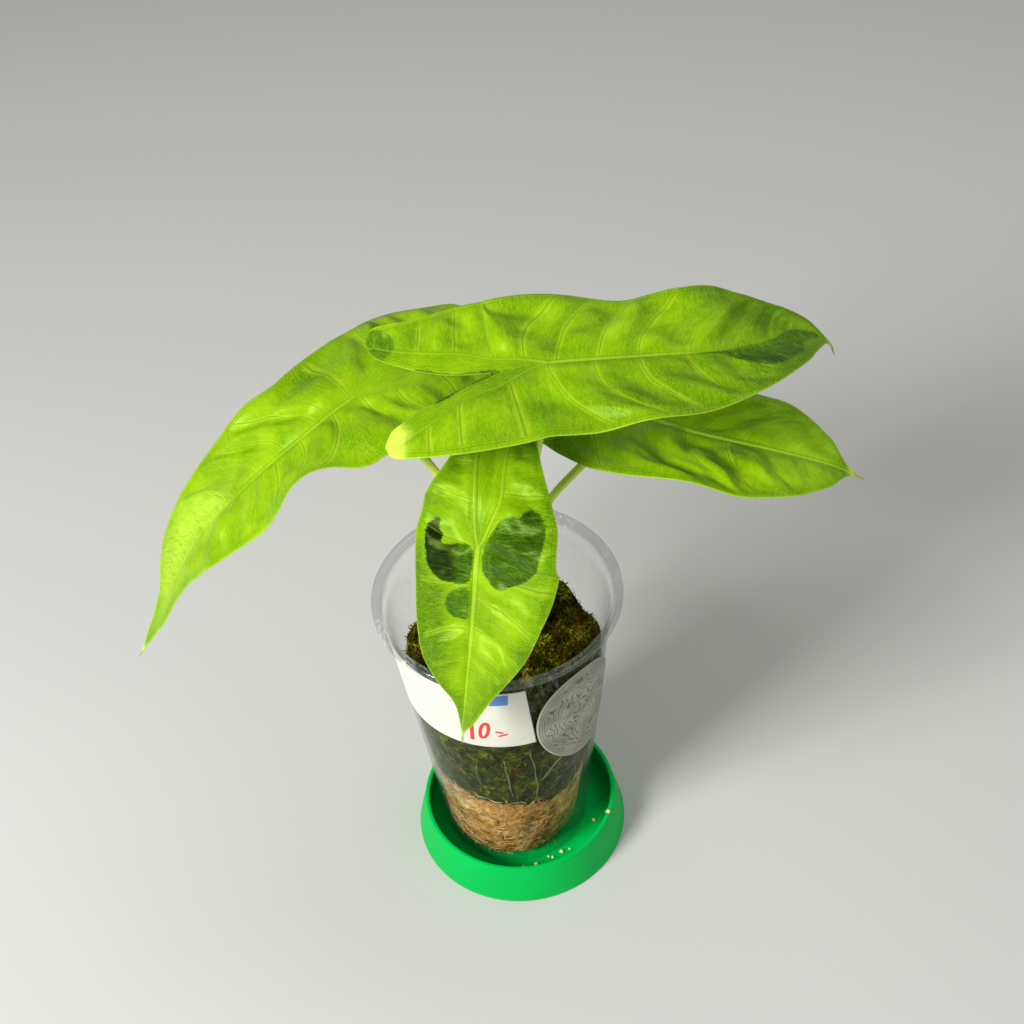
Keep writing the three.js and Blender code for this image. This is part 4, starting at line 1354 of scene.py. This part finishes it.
def base_z(angle, share=1.0):
    return np.full_like(angle, FILL_BASE_Z)


def layer_z(angle, share=1.0):
    """Height of the line between the layers; share runs from the middle to the wall."""
    tilt = LAYER_TILT * np.cos(angle - LAYER_LOW_ANGLE)
    return LAYER_Z - share * tilt + share * LAYER_RIPPLE * np.sin(3 * angle + 1)


def moss_z(angle, share=1.0):
    """Height of the moss's mean surface."""
    bank = MOSS_BANK * share * np.clip(np.cos(angle - MOSS_BANK_ANGLE), 0, 1) ** 3
    lump = MOSS_LUMP * np.sin(5 * angle + 2) * share
    return MOSS_TOP_Z + lump + MOSS_LUMP * 0.8 * np.sin(9 * angle + 7 * share) + bank


def moss_lumps(x, y, share):
    """Height of the clumps over the moss's mean surface, none at the wall."""
    clumps = 2.6 * ripples(41, x, y, 8, 17, 12) + 1.1 * ripples(42, x, y, 3, 6, 14)
    return np.clip(clumps, -6.0, 3.5) * ease(1.0, 0.88, share)


def fill_points(angle, radius, z):
    return round_points(CUP_X, CUP_Y, radius, angle, z)


def make_layer(name, low_z, high_z, seed, finish, slot):
    """One layer of the filling: a lumpy wall between two heights, closed above and below."""
    angle = turn_angles(WALL_SEGMENTS)
    rings = []
    for share in (0.3, 0.6, 0.85):
        z = low_z(angle, share)
        rings.append(fill_points(angle, share * fill_radius(angle, z), z))
    for t in np.linspace(0, 1, WALL_STEPS):
        z = low_z(angle, 1.0) * (1 - t) + high_z(angle, 1.0) * t
        arc = angle * FILL_MEAN_RADIUS
        dents = 0.55 * (1 + ripples(seed, arc, z, 2.2, 6, 14)) * 0.5
        dents += 0.7 * (1 + ripples(seed + 1, arc, z, 7, 18, 9)) * 0.5
        rings.append(fill_points(angle, fill_radius(angle, z) - 0.2 - np.clip(dents, 0, 3), z))
    for share in np.linspace(0.96, 0.04, TOP_STEPS):
        z = high_z(angle, share)
        radius = share * fill_radius(angle, z)
        lumps = moss_lumps(radius * np.cos(angle), radius * np.sin(angle), share)
        rings.append(fill_points(angle, radius, z + lumps))
    mount(mesh_of(name + "_skin", *loft(rings), finish), slot, name)


def sprig_mesh(leaves=7, length=2.6, width=0.55):
    """A small moss head: curved leaflets round a point."""
    points, faces = [], []
    for i in range(leaves):
        turn = 2 * math.pi * i / leaves + 0.4 * (i % 2)
        cos, sin = math.cos(turn), math.sin(turn)
        lift = 0.55 + 0.35 * (i % 3)
        reach = length * (0.75 + 0.25 * ((i * 5) % 3) / 2)
        a = len(points)
        for t, half in ((0.0, 0.5), (0.4, 1.0), (0.75, 0.7)):
            x, z = reach * t, reach * (lift * t - 0.45 * t * t)
            for y in (-half * width / 2, half * width / 2):
                points.append((x * cos - y * sin, x * sin + y * cos, z))
        points.append((reach * cos, reach * sin, reach * (lift - 0.5)))
        faces += [(a, a + 2, a + 3, a + 1), (a + 2, a + 4, a + 5, a + 3), (a + 4, a + 6, a + 5)]
    return points, faces


def strand_mesh(length=6.0, width=0.32, curl=0.9, steps=7):
    """A flat curled strand, lying in its own plane."""
    points, faces = [], []
    for i in range(steps):
        t = i / (steps - 1)
        bend = curl * math.sin(math.pi * t * 1.3)
        half = width * (0.35 + 0.65 * math.sin(math.pi * min(1, t + 0.12))) / 2
        x = length * (t - 0.5)
        points += [(x, bend - half, 0.0), (x, bend, 0.12), (x, bend + half, 0.0)]
    for a in range(0, 3 * (steps - 1), 3):
        faces += [(a, a + 3, a + 4, a + 1), (a + 1, a + 4, a + 5, a + 2)]
    return points, faces


SCATTER_INPUTS = (
    ("Surface", "Geometry", None),
    ("Copy", "Object", None),
    ("Copies per square metre", "Float", 1000.0),
    ("Least size", "Float", 0.6),
    ("Greatest size", "Float", 1.3),
    ("Tilt", "Float", 0.5),
    ("Seed", "Int", 1),
    ("Finish", "Material", None),
)


def scatter_tree():
    """Scatters copies of one piece over a surface, turned and sized at random, with a shade."""
    group = bpy.data.node_groups.new("scatter over moss", "GeometryNodeTree")
    for name, kind, default in SCATTER_INPUTS:
        kind = "NodeSocket" + kind
        socket = group.interface.new_socket(name, in_out="INPUT", socket_type=kind)
        if default is not None:
            socket.default_value = default
    group.interface.new_socket("Result", in_out="OUTPUT", socket_type="NodeSocketGeometry")
    tree = Tree(group)
    given = tree.add("NodeGroupInput").outputs
    spread = tree.add(
        "GeometryNodeDistributePointsOnFaces",
        {
            "Mesh": given["Surface"],
            "Density": given["Copies per square metre"],
            "Seed": given["Seed"],
        },
    ).outputs

    # Each copy stands on the surface, leans up to the tilt and is turned about itself.
    tilt, seed = given["Tilt"], given["Seed"]
    lean = tree.add("ShaderNodeMath", {0: tilt, 1: -1.0}, operation="MULTIPLY").outputs[0]
    least = tree.add("ShaderNodeCombineXYZ", {0: lean, 1: lean, 2: -math.pi}).outputs[0]
    most = tree.add("ShaderNodeCombineXYZ", {0: tilt, 1: tilt, 2: math.pi}).outputs[0]
    spin = tree.add(
        "FunctionNodeRandomValue", {0: least, 1: most, "Seed": seed}, data_type="FLOAT_VECTOR"
    )
    turn = tree.add(
        "FunctionNodeRotateEuler",
        {"Rotation": spread["Rotation"], "Rotate By": spin.outputs[0]},
        rotation_type="EULER",
        space="LOCAL",
    )
    size = tree.add(
        "FunctionNodeRandomValue",
        {2: given["Least size"], 3: given["Greatest size"]},
        data_type="FLOAT",
    )
    copies = tree.add(
        "GeometryNodeInstanceOnPoints",
        {
            "Points": spread["Points"],
            "Instance": tree.add("GeometryNodeObjectInfo", {"Object": given["Copy"]})
            .outputs["Geometry"],
            "Rotation": turn.outputs[0],
            "Scale": size.outputs[1],
        },
    )

    # A copy's shade is its own, and lighter in clumps.
    own = tree.add("FunctionNodeRandomValue", {"Seed": 7}, data_type="FLOAT").outputs[1]
    where = tree.add("GeometryNodeInputPosition").outputs[0]
    clump = tree.add("ShaderNodeTexNoise", {"Scale": 110.0, "Vector": where}).outputs["Fac"]
    part = tree.add(
        "ShaderNodeMapRange", {"Value": clump, "From Min": 0.35, "From Max": 0.7, "To Max": 0.5}
    ).outputs[0]
    shade = tree.add("ShaderNodeMath", {0: own, 1: 0.55, 2: part}, operation="MULTIPLY_ADD")
    store = tree.add(
        "GeometryNodeStoreNamedAttribute",
        {"Name": "sprig_shade", "Geometry": copies.outputs[0], "Value": shade.outputs[0]},
        data_type="FLOAT",
        domain="INSTANCE",
    )
    real = tree.add("GeometryNodeRealizeInstances", {0: store.outputs[0]})
    painted = {"Geometry": real.outputs[0], "Material": given["Finish"]}
    tree.add("NodeGroupOutput", {0: tree.add("GeometryNodeSetMaterial", painted).outputs[0]})
    return group


def scatter(name, surface, copy, finish, **choices):
    """A plain mesh of copies scattered over a surface; the surface and the copy are removed."""
    tree = bpy.data.node_groups.get("scatter over moss") or scatter_tree()
    modifier = surface.modifiers.new("scatter", "NODES")
    modifier.node_group = tree
    sockets = {
        item.name: item.identifier
        for item in tree.interface.items_tree
        if item.item_type == "SOCKET" and item.in_out == "INPUT"
    }
    modifier[sockets["Copy"]] = copy
    modifier[sockets["Finish"]] = finish
    for key, value in choices.items():
        modifier[sockets[key.replace("_", " ").capitalize()]] = value
    bpy.context.view_layer.update()
    graph = bpy.context.evaluated_depsgraph_get()
    mesh = bpy.data.meshes.new_from_object(surface.evaluated_get(graph), depsgraph=graph)
    mesh.name = name
    mesh.materials.clear()
    mesh.materials.append(finish)
    piece = bpy.data.objects.new(name, mesh)
    bpy.context.scene.collection.objects.link(piece)
    surface.modifiers.remove(modifier)
    bpy.data.objects.remove(surface)
    bpy.data.objects.remove(copy)
    return piece


def moss_bed(first, last, rings=26):
    """The moss's upper face between two shares of its radius."""
    angle = turn_angles(BED_SEGMENTS)
    found = []
    for share in np.linspace(last, first, rings):
        z = moss_z(angle, share)
        radius = share * (fill_radius(angle, z) - 0.8)
        lumps = moss_lumps(radius * np.cos(angle), radius * np.sin(angle), share)
        found.append(fill_points(angle, radius, z + lumps - 0.2))
    return mesh_of("bed", *loft(found, closed_ends=False))


def wall_bed(low_z, high_z, inset=0.25, rings=40):
    """A band of the filling's wall, between two heights given as functions of the angle."""
    angle = turn_angles(BED_SEGMENTS)
    found = []
    for t in np.linspace(0, 1, rings):
        z = low_z(angle) * (1 - t) + high_z(angle) * t
        found.append(fill_points(angle, fill_radius(angle, z) - inset, z))
    return mesh_of("bed", *loft(found, closed_ends=False))


def make_strands(name, low_z, high_z, seed, finish, slot, settings):
    """Strands of moss lying against the inside of the cup."""
    strands = scatter(
        name, wall_bed(low_z, high_z), mesh_of("strand", *strand_mesh()), finish,
        Copies_per_square_metre=settings.strands, Least_size=0.4, Greatest_size=1.0, Tilt=0.05,
        Seed=seed,
    )
    mount(strands, slot)


# The roots' thickness and the places, in degrees and heights, that they run through
ROOTS = [
    (0.5, [(-70, 62.5), (-65.8, 66.3), (-62, 70.3), (-53.7, 73.3)]),
    (0.34, [(-94.5, 82), (-93.8, 75.5), (-92.9, 65.6), (-91.4, 53.9)]),
    (0.36, [(-77.8, 86), (-76.8, 79), (-75.2, 65.8), (-73.9, 52.3), (-76, 47)]),
    (0.3, [(-79.4, 43), (-81.3, 32.2), (-82.7, 20.8)]),
    (0.3, [(-112, 78), (-114, 70), (-111, 61)]),
    (0.3, [(-40, 56), (-38, 47), (-42, 38)]),
    (0.5, [(120, 80), (114, 70), (117, 58), (112, 46), (115, 34)]),
    (0.5, [(40, 86), (36, 74), (40, 60), (34, 50)]),
    (0.45, [(-160, 60), (-156, 50), (-159, 38), (-154, 28)]),
]
ROOT_STEPS, ROOT_SIDES = 60, 10


def make_roots(finish):
    """White roots pressed against the inside of the cup."""
    parts = []
    share = np.linspace(0, 1, ROOT_STEPS)
    for i, (thick, places) in enumerate(ROOTS):
        route = curve_through([(a, h, 0) for a, h in places], 20, even=False)
        degrees, z, _ = even_steps(route, ROOT_STEPS).T
        angle = np.radians(degrees + 0.4 * ripples(80 + i, z, 0.0, 6, 16))
        radii = 0.85 * thick * (0.45 + 0.55 * np.sin(math.pi * share) ** 0.5)
        radii = radii * (1 + 0.25 * ripples(90 + i, z, 0.0, 3, 8))
        parts.append(tube(fill_points(angle, fill_radius(angle, z) - 0.15, z), radii, ROOT_SIDES))
    mount(mesh_of("wall_roots", *together(parts), finish), "tan_sphagnum")


# The crumbs' places and sizes: x, y, z, size
CRUMBS = [
    (36.2, -15.6, 17.6, 1.0), (15.4, -23.6, 3.0, 0.9), (11.6, -26.0, 3.0, 0.7),
    (9.8, -25.4, 3.0, 0.5), (4.4, -28.6, 3.0, 0.8), (-1.2, -29.3, 3.0, 0.6),
    (18.9, -22.5, 3.0, 0.5), (30.5, -9.0, 3.0, 0.8), (-14.0, 34.2, 3.0, 0.9),
    (-33.6, 12.0, 3.0, 0.7), (20.0, 30.4, 3.0, 0.6),
]
CRUMB_FLATNESS = 0.62


def make_crumbs(finish):
    """Crumbs of moss lying on the saucer."""
    angle = turn_angles(10)
    parts = []
    for i, (x, y, z, size) in enumerate(CRUMBS):
        rings = []
        for t in (0.02, 0.3, 0.7, 1.2, 1.8, 2.5, 3.1):
            lumps = 1 + 0.22 * ripples(60 + i, 3 * angle, 3 * t, 2, 5)
            height = z + 0.02 + size * CRUMB_FLATNESS * (1 - math.cos(t))
            rings.append(round_points(x, y, size * math.sin(t) * lumps, angle, height))
        parts.append(loft(rings))
    mount(mesh_of("saucer_crumbs", *together(parts), finish), "tan_sphagnum")


# Skins on the cup

LABEL_FOOT_Z, LABEL_TOP_Z, LABEL_RIGHT, LABEL_LEAN, LABEL_WIDTH = 94.3, 129.8, -51.5, 0.235, 66.0
LABEL_ROWS, LABEL_COLUMNS = 96, 180
STICKER_ARC, STICKER_Z, STICKER_LONG, STICKER_SHORT, STICKER_LEAN = -30.0, 98.0, 30.0, 20.3, 27.0
STICKER_SEGMENTS, STICKER_RINGS, STICKER_DEPTH = 96, 24, 24
SKIN_GAP, SKIN_THICKNESS = 0.15, 0.35
UNMARKED = -9.0


def oval(x, z, wide, tall, count=28):
    turn = np.linspace(0, 2 * math.pi, count)
    return [(x + wide * math.cos(t), z + tall * math.sin(t)) for t in turn]


# The label's marks, as (arc, height) places on the cup; strokes start with their half width.
LABEL_BLOCK = [(-72.2, 122.4), (-65.3, 122.6), (-66.0, 129.2), (-72.6, 128.7)]
PEN_STROKES = [
    (0.75, oval(-72.3, 105.5, 1.5, 5.0)),
    (0.85, [(-77.6, 110.2), (-76.2, 98.9)]),
    (0.55, [(-67.7, 104.9), (-65.4, 104.1)]),
    (0.6, [(-66.2, 102.1), (-63.7, 103.0)]),
]
PENCIL_STROKES = [
    (0.35, [(-108, 118.6), (-86, 122.0)]),
    (0.35, [(-108, 112.4), (-98, 114.0)]),
]


def skin_points(arc, z, lift):
    """Points over the cup's wall, lifted off it."""
    radius = wall_outer(z) + SKIN_GAP + lift
    return round_points(CUP_X, CUP_Y, radius, arc / wall_outer(z), z)


def plate(arc, z):
    """Points and faces of a thin closed plate on the wall, from grids of arc and height."""
    rows, columns = arc.shape
    inner = skin_points(arc, z, 0.0).reshape(-1, 3)
    outer = skin_points(arc, z, SKIN_THICKNESS).reshape(-1, 3)
    size = rows * columns
    faces = []
    for k in range(rows - 1):
        for i in range(columns - 1):
            a, b = k * columns + i, (k + 1) * columns + i
            faces.append((size + a, size + a + 1, size + b + 1, size + b))
            faces.append((a, b, b + 1, a + 1))
        a, b = k * columns, (k + 1) * columns
        faces.append((a, size + a, size + b, b))
        a, b = a + columns - 1, b + columns - 1
        faces.append((a, b, size + b, size + a))
    last = (rows - 1) * columns
    for i in range(columns - 1):
        faces.append((i, i + 1, size + i + 1, size + i))
        faces.append((last + i, size + last + i, size + last + i + 1, last + i + 1))
    return np.vstack([inner, outer]), faces


def drawn(strokes, arc, z):
    """How far inside the nearest stroke each place lies."""
    found = np.full(arc.shape, UNMARKED)
    for half, path in strokes:
        found = np.maximum(found, half - path_distance(path, arc, z))
    return found


def make_label(finish):
    """The paper label, its marks held as distances on its points."""
    z = np.linspace(LABEL_FOOT_Z, LABEL_TOP_Z, LABEL_ROWS)[:, None] * np.ones(LABEL_COLUMNS)
    right = LABEL_RIGHT - (z - LABEL_FOOT_Z) * LABEL_LEAN
    arc = right - LABEL_WIDTH * np.linspace(1, 0, LABEL_COLUMNS)
    block = signed_distance(LABEL_BLOCK, arc, z)
    marks = [block, drawn(PEN_STROKES, arc, z), drawn(PENCIL_STROKES, arc, z)]
    ink = np.stack(marks, -1).reshape(-1, 3)
    values = {"label_ink": np.vstack([np.full_like(ink, UNMARKED), ink])}
    mount(mesh_of("label_sheet", *plate(arc, z), finish, values), "label_paper", "label")


def make_sticker(finish):
    """The oval sticker, as rings from its middle to its rim and back on its outer face."""
    lean = math.radians(STICKER_LEAN)
    angle = turn_angles(STICKER_SEGMENTS)
    rings, places = [], []
    shares = np.linspace(0.02, 1, STICKER_RINGS)
    for lift, order in ((0.0, shares), (SKIN_THICKNESS, shares[::-1])):
        for share in order:
            across = share * STICKER_SHORT * np.cos(angle)
            along = share * STICKER_LONG * np.sin(angle)
            arc = STICKER_ARC + across * math.cos(lean) - along * math.sin(lean)
            z = STICKER_Z + across * math.sin(lean) + along * math.cos(lean)
            rings.append(skin_points(arc, z, lift))
            edge = np.full(STICKER_SEGMENTS, (1 - share) * STICKER_DEPTH)
            places.append(np.stack([across, along, edge], -1))
    middle = [[0, 0, STICKER_DEPTH]] * 2
    values = {"sticker_place": np.vstack([*places, middle])}
    mount(mesh_of("sticker_sheet", *loft(rings), finish, values), "sticker_film", "sticker")


# Operators


class DressBlades(bpy.types.Operator):
    """Makes the four blades"""

    bl_idname = "alocasia.blades"
    bl_label = "Blades"

    def execute(self, context):
        settings = context.scene.alocasia_blades
        finish = blade_finish(settings)
        for place in BLADES:
            make_blade(place, settings, finish)
        return {"FINISHED"}


class DressStalks(bpy.types.Operator):
    """Makes the four stalks"""

    bl_idname = "alocasia.stalks"
    bl_label = "Stalks"

    def execute(self, context):
        finish = stalk_finish(context.scene.alocasia_blades)
        for place in STALKS:
            make_stalk(place, finish)
        return {"FINISHED"}


class DressCorm(bpy.types.Operator):
    """Makes the corm, ringed with old leaf scars"""

    bl_idname = "alocasia.corm"
    bl_label = "Corm"

    def execute(self, context):
        angle = turn_angles(64)
        rings = []
        for z in np.linspace(CORM_FOOT_Z + 0.5, CORM_TOP_Z + 0.2, 60):
            t = (z - CORM_FOOT_Z) / (CORM_TOP_Z - CORM_FOOT_Z)
            size = CORM_RADIUS * (0.62 + 0.36 * math.sin(math.pi * min(1, 0.15 + t * 0.7)))
            size *= 1 - 0.25 * max(0.0, t - 0.85) / 0.15
            scars = 0.25 * math.sin(z * 2.1) + 0.2 * ripples(5, angle * 8, z, 3, 8)
            rings.append(round_points(CORM_X, CORM_Y, size + scars, angle, z))
        finish = corm_finish(context.scene.alocasia_blades)
        mount(mesh_of("corm_skin", *loft(rings), finish), "corm_skin", "corm")
        return {"FINISHED"}


class DressSaucer(bpy.types.Operator):
    """Makes the saucer with rounded edges"""

    bl_idname = "alocasia.saucer"
    bl_label = "Saucer"

    def execute(self, context):
        profile = [
            (0, 0),
            (SAUCER_FOOT_RADIUS, 0),
            (SAUCER_RIM_RADIUS, SAUCER_HEIGHT),
            (SAUCER_INNER_RIM_RADIUS, SAUCER_HEIGHT),
            (SAUCER_FLOOR_RADIUS, SAUCER_FLOOR_Z),
            (0, SAUCER_FLOOR_Z),
        ]
        finish = plastic_finish(context.scene.alocasia_pot)
        piece = mesh_of("saucer_dish", *turned(rounded(profile, 0.6), 160), finish)
        mount(piece, "green_plastic", "saucer")
        return {"FINISHED"}


class DressCup(bpy.types.Operator):
    """Makes the clear cup with its shoulder and rolled rim"""

    bl_idname = "alocasia.cup"
    bl_label = "Cup"

    def execute(self, context):
        shoulder = STEP_RADIUS + 1.4
        rim_foot = CUP_RIM_Z - 2.8
        rim_inner = CUP_RIM_RADIUS - 3.0
        floor_z = CUP_BASE_Z + CUP_WALL
        profile = [
            (0, CUP_BASE_Z),
            (CUP_FOOT_RADIUS - 3.2, CUP_BASE_Z),
            (CUP_FOOT_RADIUS - 2.6, CUP_FOOT_Z),
            (CUP_FOOT_RADIUS, CUP_FOOT_Z),
            (STEP_RADIUS, STEP_Z),
            (shoulder, STEP_Z + 1.2),
            (shoulder + 0.4, rim_foot),
            (CUP_RIM_RADIUS - 0.3, rim_foot),
            (CUP_RIM_RADIUS, rim_foot + 0.5),
            (CUP_RIM_RADIUS, CUP_RIM_Z - 0.7),
            (CUP_RIM_RADIUS - 0.7, CUP_RIM_Z),
            (rim_inner + 0.6, CUP_RIM_Z),
            (rim_inner - 0.4, CUP_RIM_Z - 0.8),
            (shoulder - CUP_WALL, STEP_Z + 1.8),
            (STEP_RADIUS - CUP_WALL, STEP_Z),
            (float(wall_outer(floor_z)) - CUP_WALL, floor_z),
            (0, floor_z),
        ]
        body = turned(rounded(profile, 0.8, 5), 200, CUP_X, CUP_Y)
        piece = mesh_of("cup_clear", *body, clear_finish(context.scene.alocasia_pot))
        mount(piece, "clear_plastic", "cup")
        return {"FINISHED"}


class DressFilling(bpy.types.Operator):
    """Makes both layers of the filling, with their sprigs, strands and roots"""

    bl_idname = "alocasia.filling"
    bl_label = "Filling"

    def execute(self, context):
        s = context.scene.alocasia_filling
        pale = moss_finish("tan_sphagnum", 130, s.tan_dark, s.tan, s.tan_light, s.rust)
        dark = moss_finish("dark_moss", 210, s.moss, s.moss_middle, s.moss_light, s.rust)
        make_layer(
            "pale_layer", base_z, lambda a, k: layer_z(a, k) - 0.1, 3, pale, "tan_sphagnum"
        )
        make_layer("moss_layer", lambda a, k: layer_z(a, k) + 0.1, moss_z, 8, dark, "dark_moss")

        green = tuft_finish("moss_sprigs", s.moss, s.rust, s.moss_middle, s.moss_light, s.tan)
        tufts = scatter(
            "moss_tufts", moss_bed(0.24, 0.97), mesh_of("sprig", *sprig_mesh()), green,
            Copies_per_square_metre=s.sprigs, Least_size=0.6, Greatest_size=1.25, Tilt=0.6,
            Seed=s.seed,
        )
        mount(tufts, "dark_moss")
        olive = tuft_finish(
            "olive_strands", s.moss, s.moss, s.moss_middle, s.moss_light, s.moss_middle
        )
        make_strands(
            "moss_strands", lambda a: layer_z(a) - 2, lambda a: moss_z(a) - 1, s.seed + 1, olive,
            "dark_moss", s,
        )
        straw = tuft_finish("tan_strands", s.tan, s.tan_light, s.rust, s.tan_light)
        make_strands(
            "tan_strands", lambda a: base_z(a) + 1, lambda a: layer_z(a) + 3, s.seed + 2, straw,
            "tan_sphagnum", s,
        )
        make_roots(root_finish(s))
        make_crumbs(tuft_finish("crumbs", s.tan_light, s.tan))
        return {"FINISHED"}


class DressSkins(bpy.types.Operator):
    """Makes the paper label and the oval sticker"""

    bl_idname = "alocasia.skins"
    bl_label = "Label and sticker"

    def execute(self, context):
        pot = context.scene.alocasia_pot
        make_label(paper_finish(pot))
        make_sticker(film_finish(pot))
        return {"FINISHED"}


# The stage, in metres: each light's name, share of the key or fill setting, size and place
LIGHTS = (
    ("key", "key", 1.0, 0.4, (-0.8, -0.6, 0.85)),
    ("fill", "fill", 1.0, 0.9, (0.8, -0.7, 0.6)),
    ("top", "fill", 1.5, 0.6, (0.45, 0.3, 1.2)),
)
LIT_PLACE = (0, 0, 0.15)
SKY_COLOUR = (1.0, 0.99, 0.97, 1.0)
FLOOR_REACH = 3000
CAMERA_PLACE = (0.0063, -0.4074, 0.5784)
CAMERA_AXES = ((0.99664, -0.05713, -0.05874), (0.08194, 0.69483, 0.71447), (0.0, -0.7169, 0.6972))
CAMERA_LENS, CAMERA_SENSOR = 56.25, 36.0


def stand(name, data, axes, place):
    """Puts a light or the camera at its place, with its x, y and z along the axes."""
    thing = bpy.data.objects.new(name, data)
    bpy.context.scene.collection.objects.link(thing)
    rows = [(*(axis[i] for axis in axes), place[i]) for i in range(3)]
    thing.matrix_world = Matrix([*rows, (0, 0, 0, 1)])
    return thing


class DressStage(bpy.types.Operator):
    """Makes the floor, the soft lights and the camera"""

    bl_idname = "alocasia.stage"
    bl_label = "Stage"

    def execute(self, context):
        scene = context.scene
        stage = scene.alocasia_stage
        reach = FLOOR_REACH
        corners = [(-reach, -reach, 0), (reach, -reach, 0), (reach, reach, 0), (-reach, reach, 0)]
        mesh_of("floor", corners, [(0, 1, 2, 3)], floor_finish(stage))
        scene.view_settings.view_transform = "Standard"
        world = bpy.data.worlds.new("soft room")
        world.use_nodes = True
        sky = world.node_tree.nodes["Background"]
        sky.inputs["Color"].default_value = SKY_COLOUR
        sky.inputs["Strength"].default_value = stage.sky
        scene.world = world

        for name, setting, share, size, place in LIGHTS:
            light = bpy.data.lights.new(name, "AREA")
            light.energy = share * getattr(stage, setting)
            light.size = size
            back = unit(np.array(place) - np.array(LIT_PLACE))
            side = unit(np.cross((0, 0, 1.0), back))
            stand(name, light, (side, np.cross(back, side), back), place)

        camera = bpy.data.cameras.new("camera")
        camera.sensor_width = CAMERA_SENSOR
        camera.lens = CAMERA_LENS
        camera.clip_start, camera.clip_end = 0.01, 20.0
        scene.camera = stand("camera", camera, CAMERA_AXES, CAMERA_PLACE)
        return {"FINISHED"}


OPERATORS = (
    DressBlades,
    DressStalks,
    DressCorm,
    DressFilling,
    DressCup,
    DressSkins,
    DressSaucer,
    DressStage,
)


class AlocasiaPanel(bpy.types.Panel):
    """Lists the pieces"""

    bl_idname = "VIEW3D_PT_alocasia"
    bl_label = "Alocasia"
    bl_space_type = "VIEW_3D"
    bl_region_type = "UI"
    bl_category = "Alocasia"

    def draw(self, context):
        for operator in OPERATORS:
            self.layout.operator(operator.bl_idname)
        for key in SETTINGS:
            group = getattr(context.scene, key)
            box = self.layout.box()
            for name in group.bl_rna.properties.keys():
                if name not in ("rna_type", "name"):
                    box.prop(group, name)


SETTINGS = {
    "alocasia_blades": BladeSettings,
    "alocasia_pot": PotSettings,
    "alocasia_filling": FillingSettings,
    "alocasia_stage": StageSettings,
}


def register():
    for group in SETTINGS.values():
        bpy.utils.register_class(group)
    for operator in OPERATORS:
        bpy.utils.register_class(operator)
    bpy.utils.register_class(AlocasiaPanel)
    for key, group in SETTINGS.items():
        setattr(bpy.types.Scene, key, bpy.props.PointerProperty(type=group))


def unregister():
    for key in SETTINGS:
        delattr(bpy.types.Scene, key)
    bpy.utils.unregister_class(AlocasiaPanel)
    for operator in reversed(OPERATORS):
        bpy.utils.unregister_class(operator)
    for group in SETTINGS.values():
        bpy.utils.unregister_class(group)


def main():
    register()
    bpy.ops.alocasia.blades()
    bpy.ops.alocasia.stalks()
    bpy.ops.alocasia.corm()
    bpy.ops.alocasia.filling()
    bpy.ops.alocasia.cup()
    bpy.ops.alocasia.skins()
    bpy.ops.alocasia.saucer()
    bpy.ops.alocasia.stage()


if __name__ == "__main__":
    main()
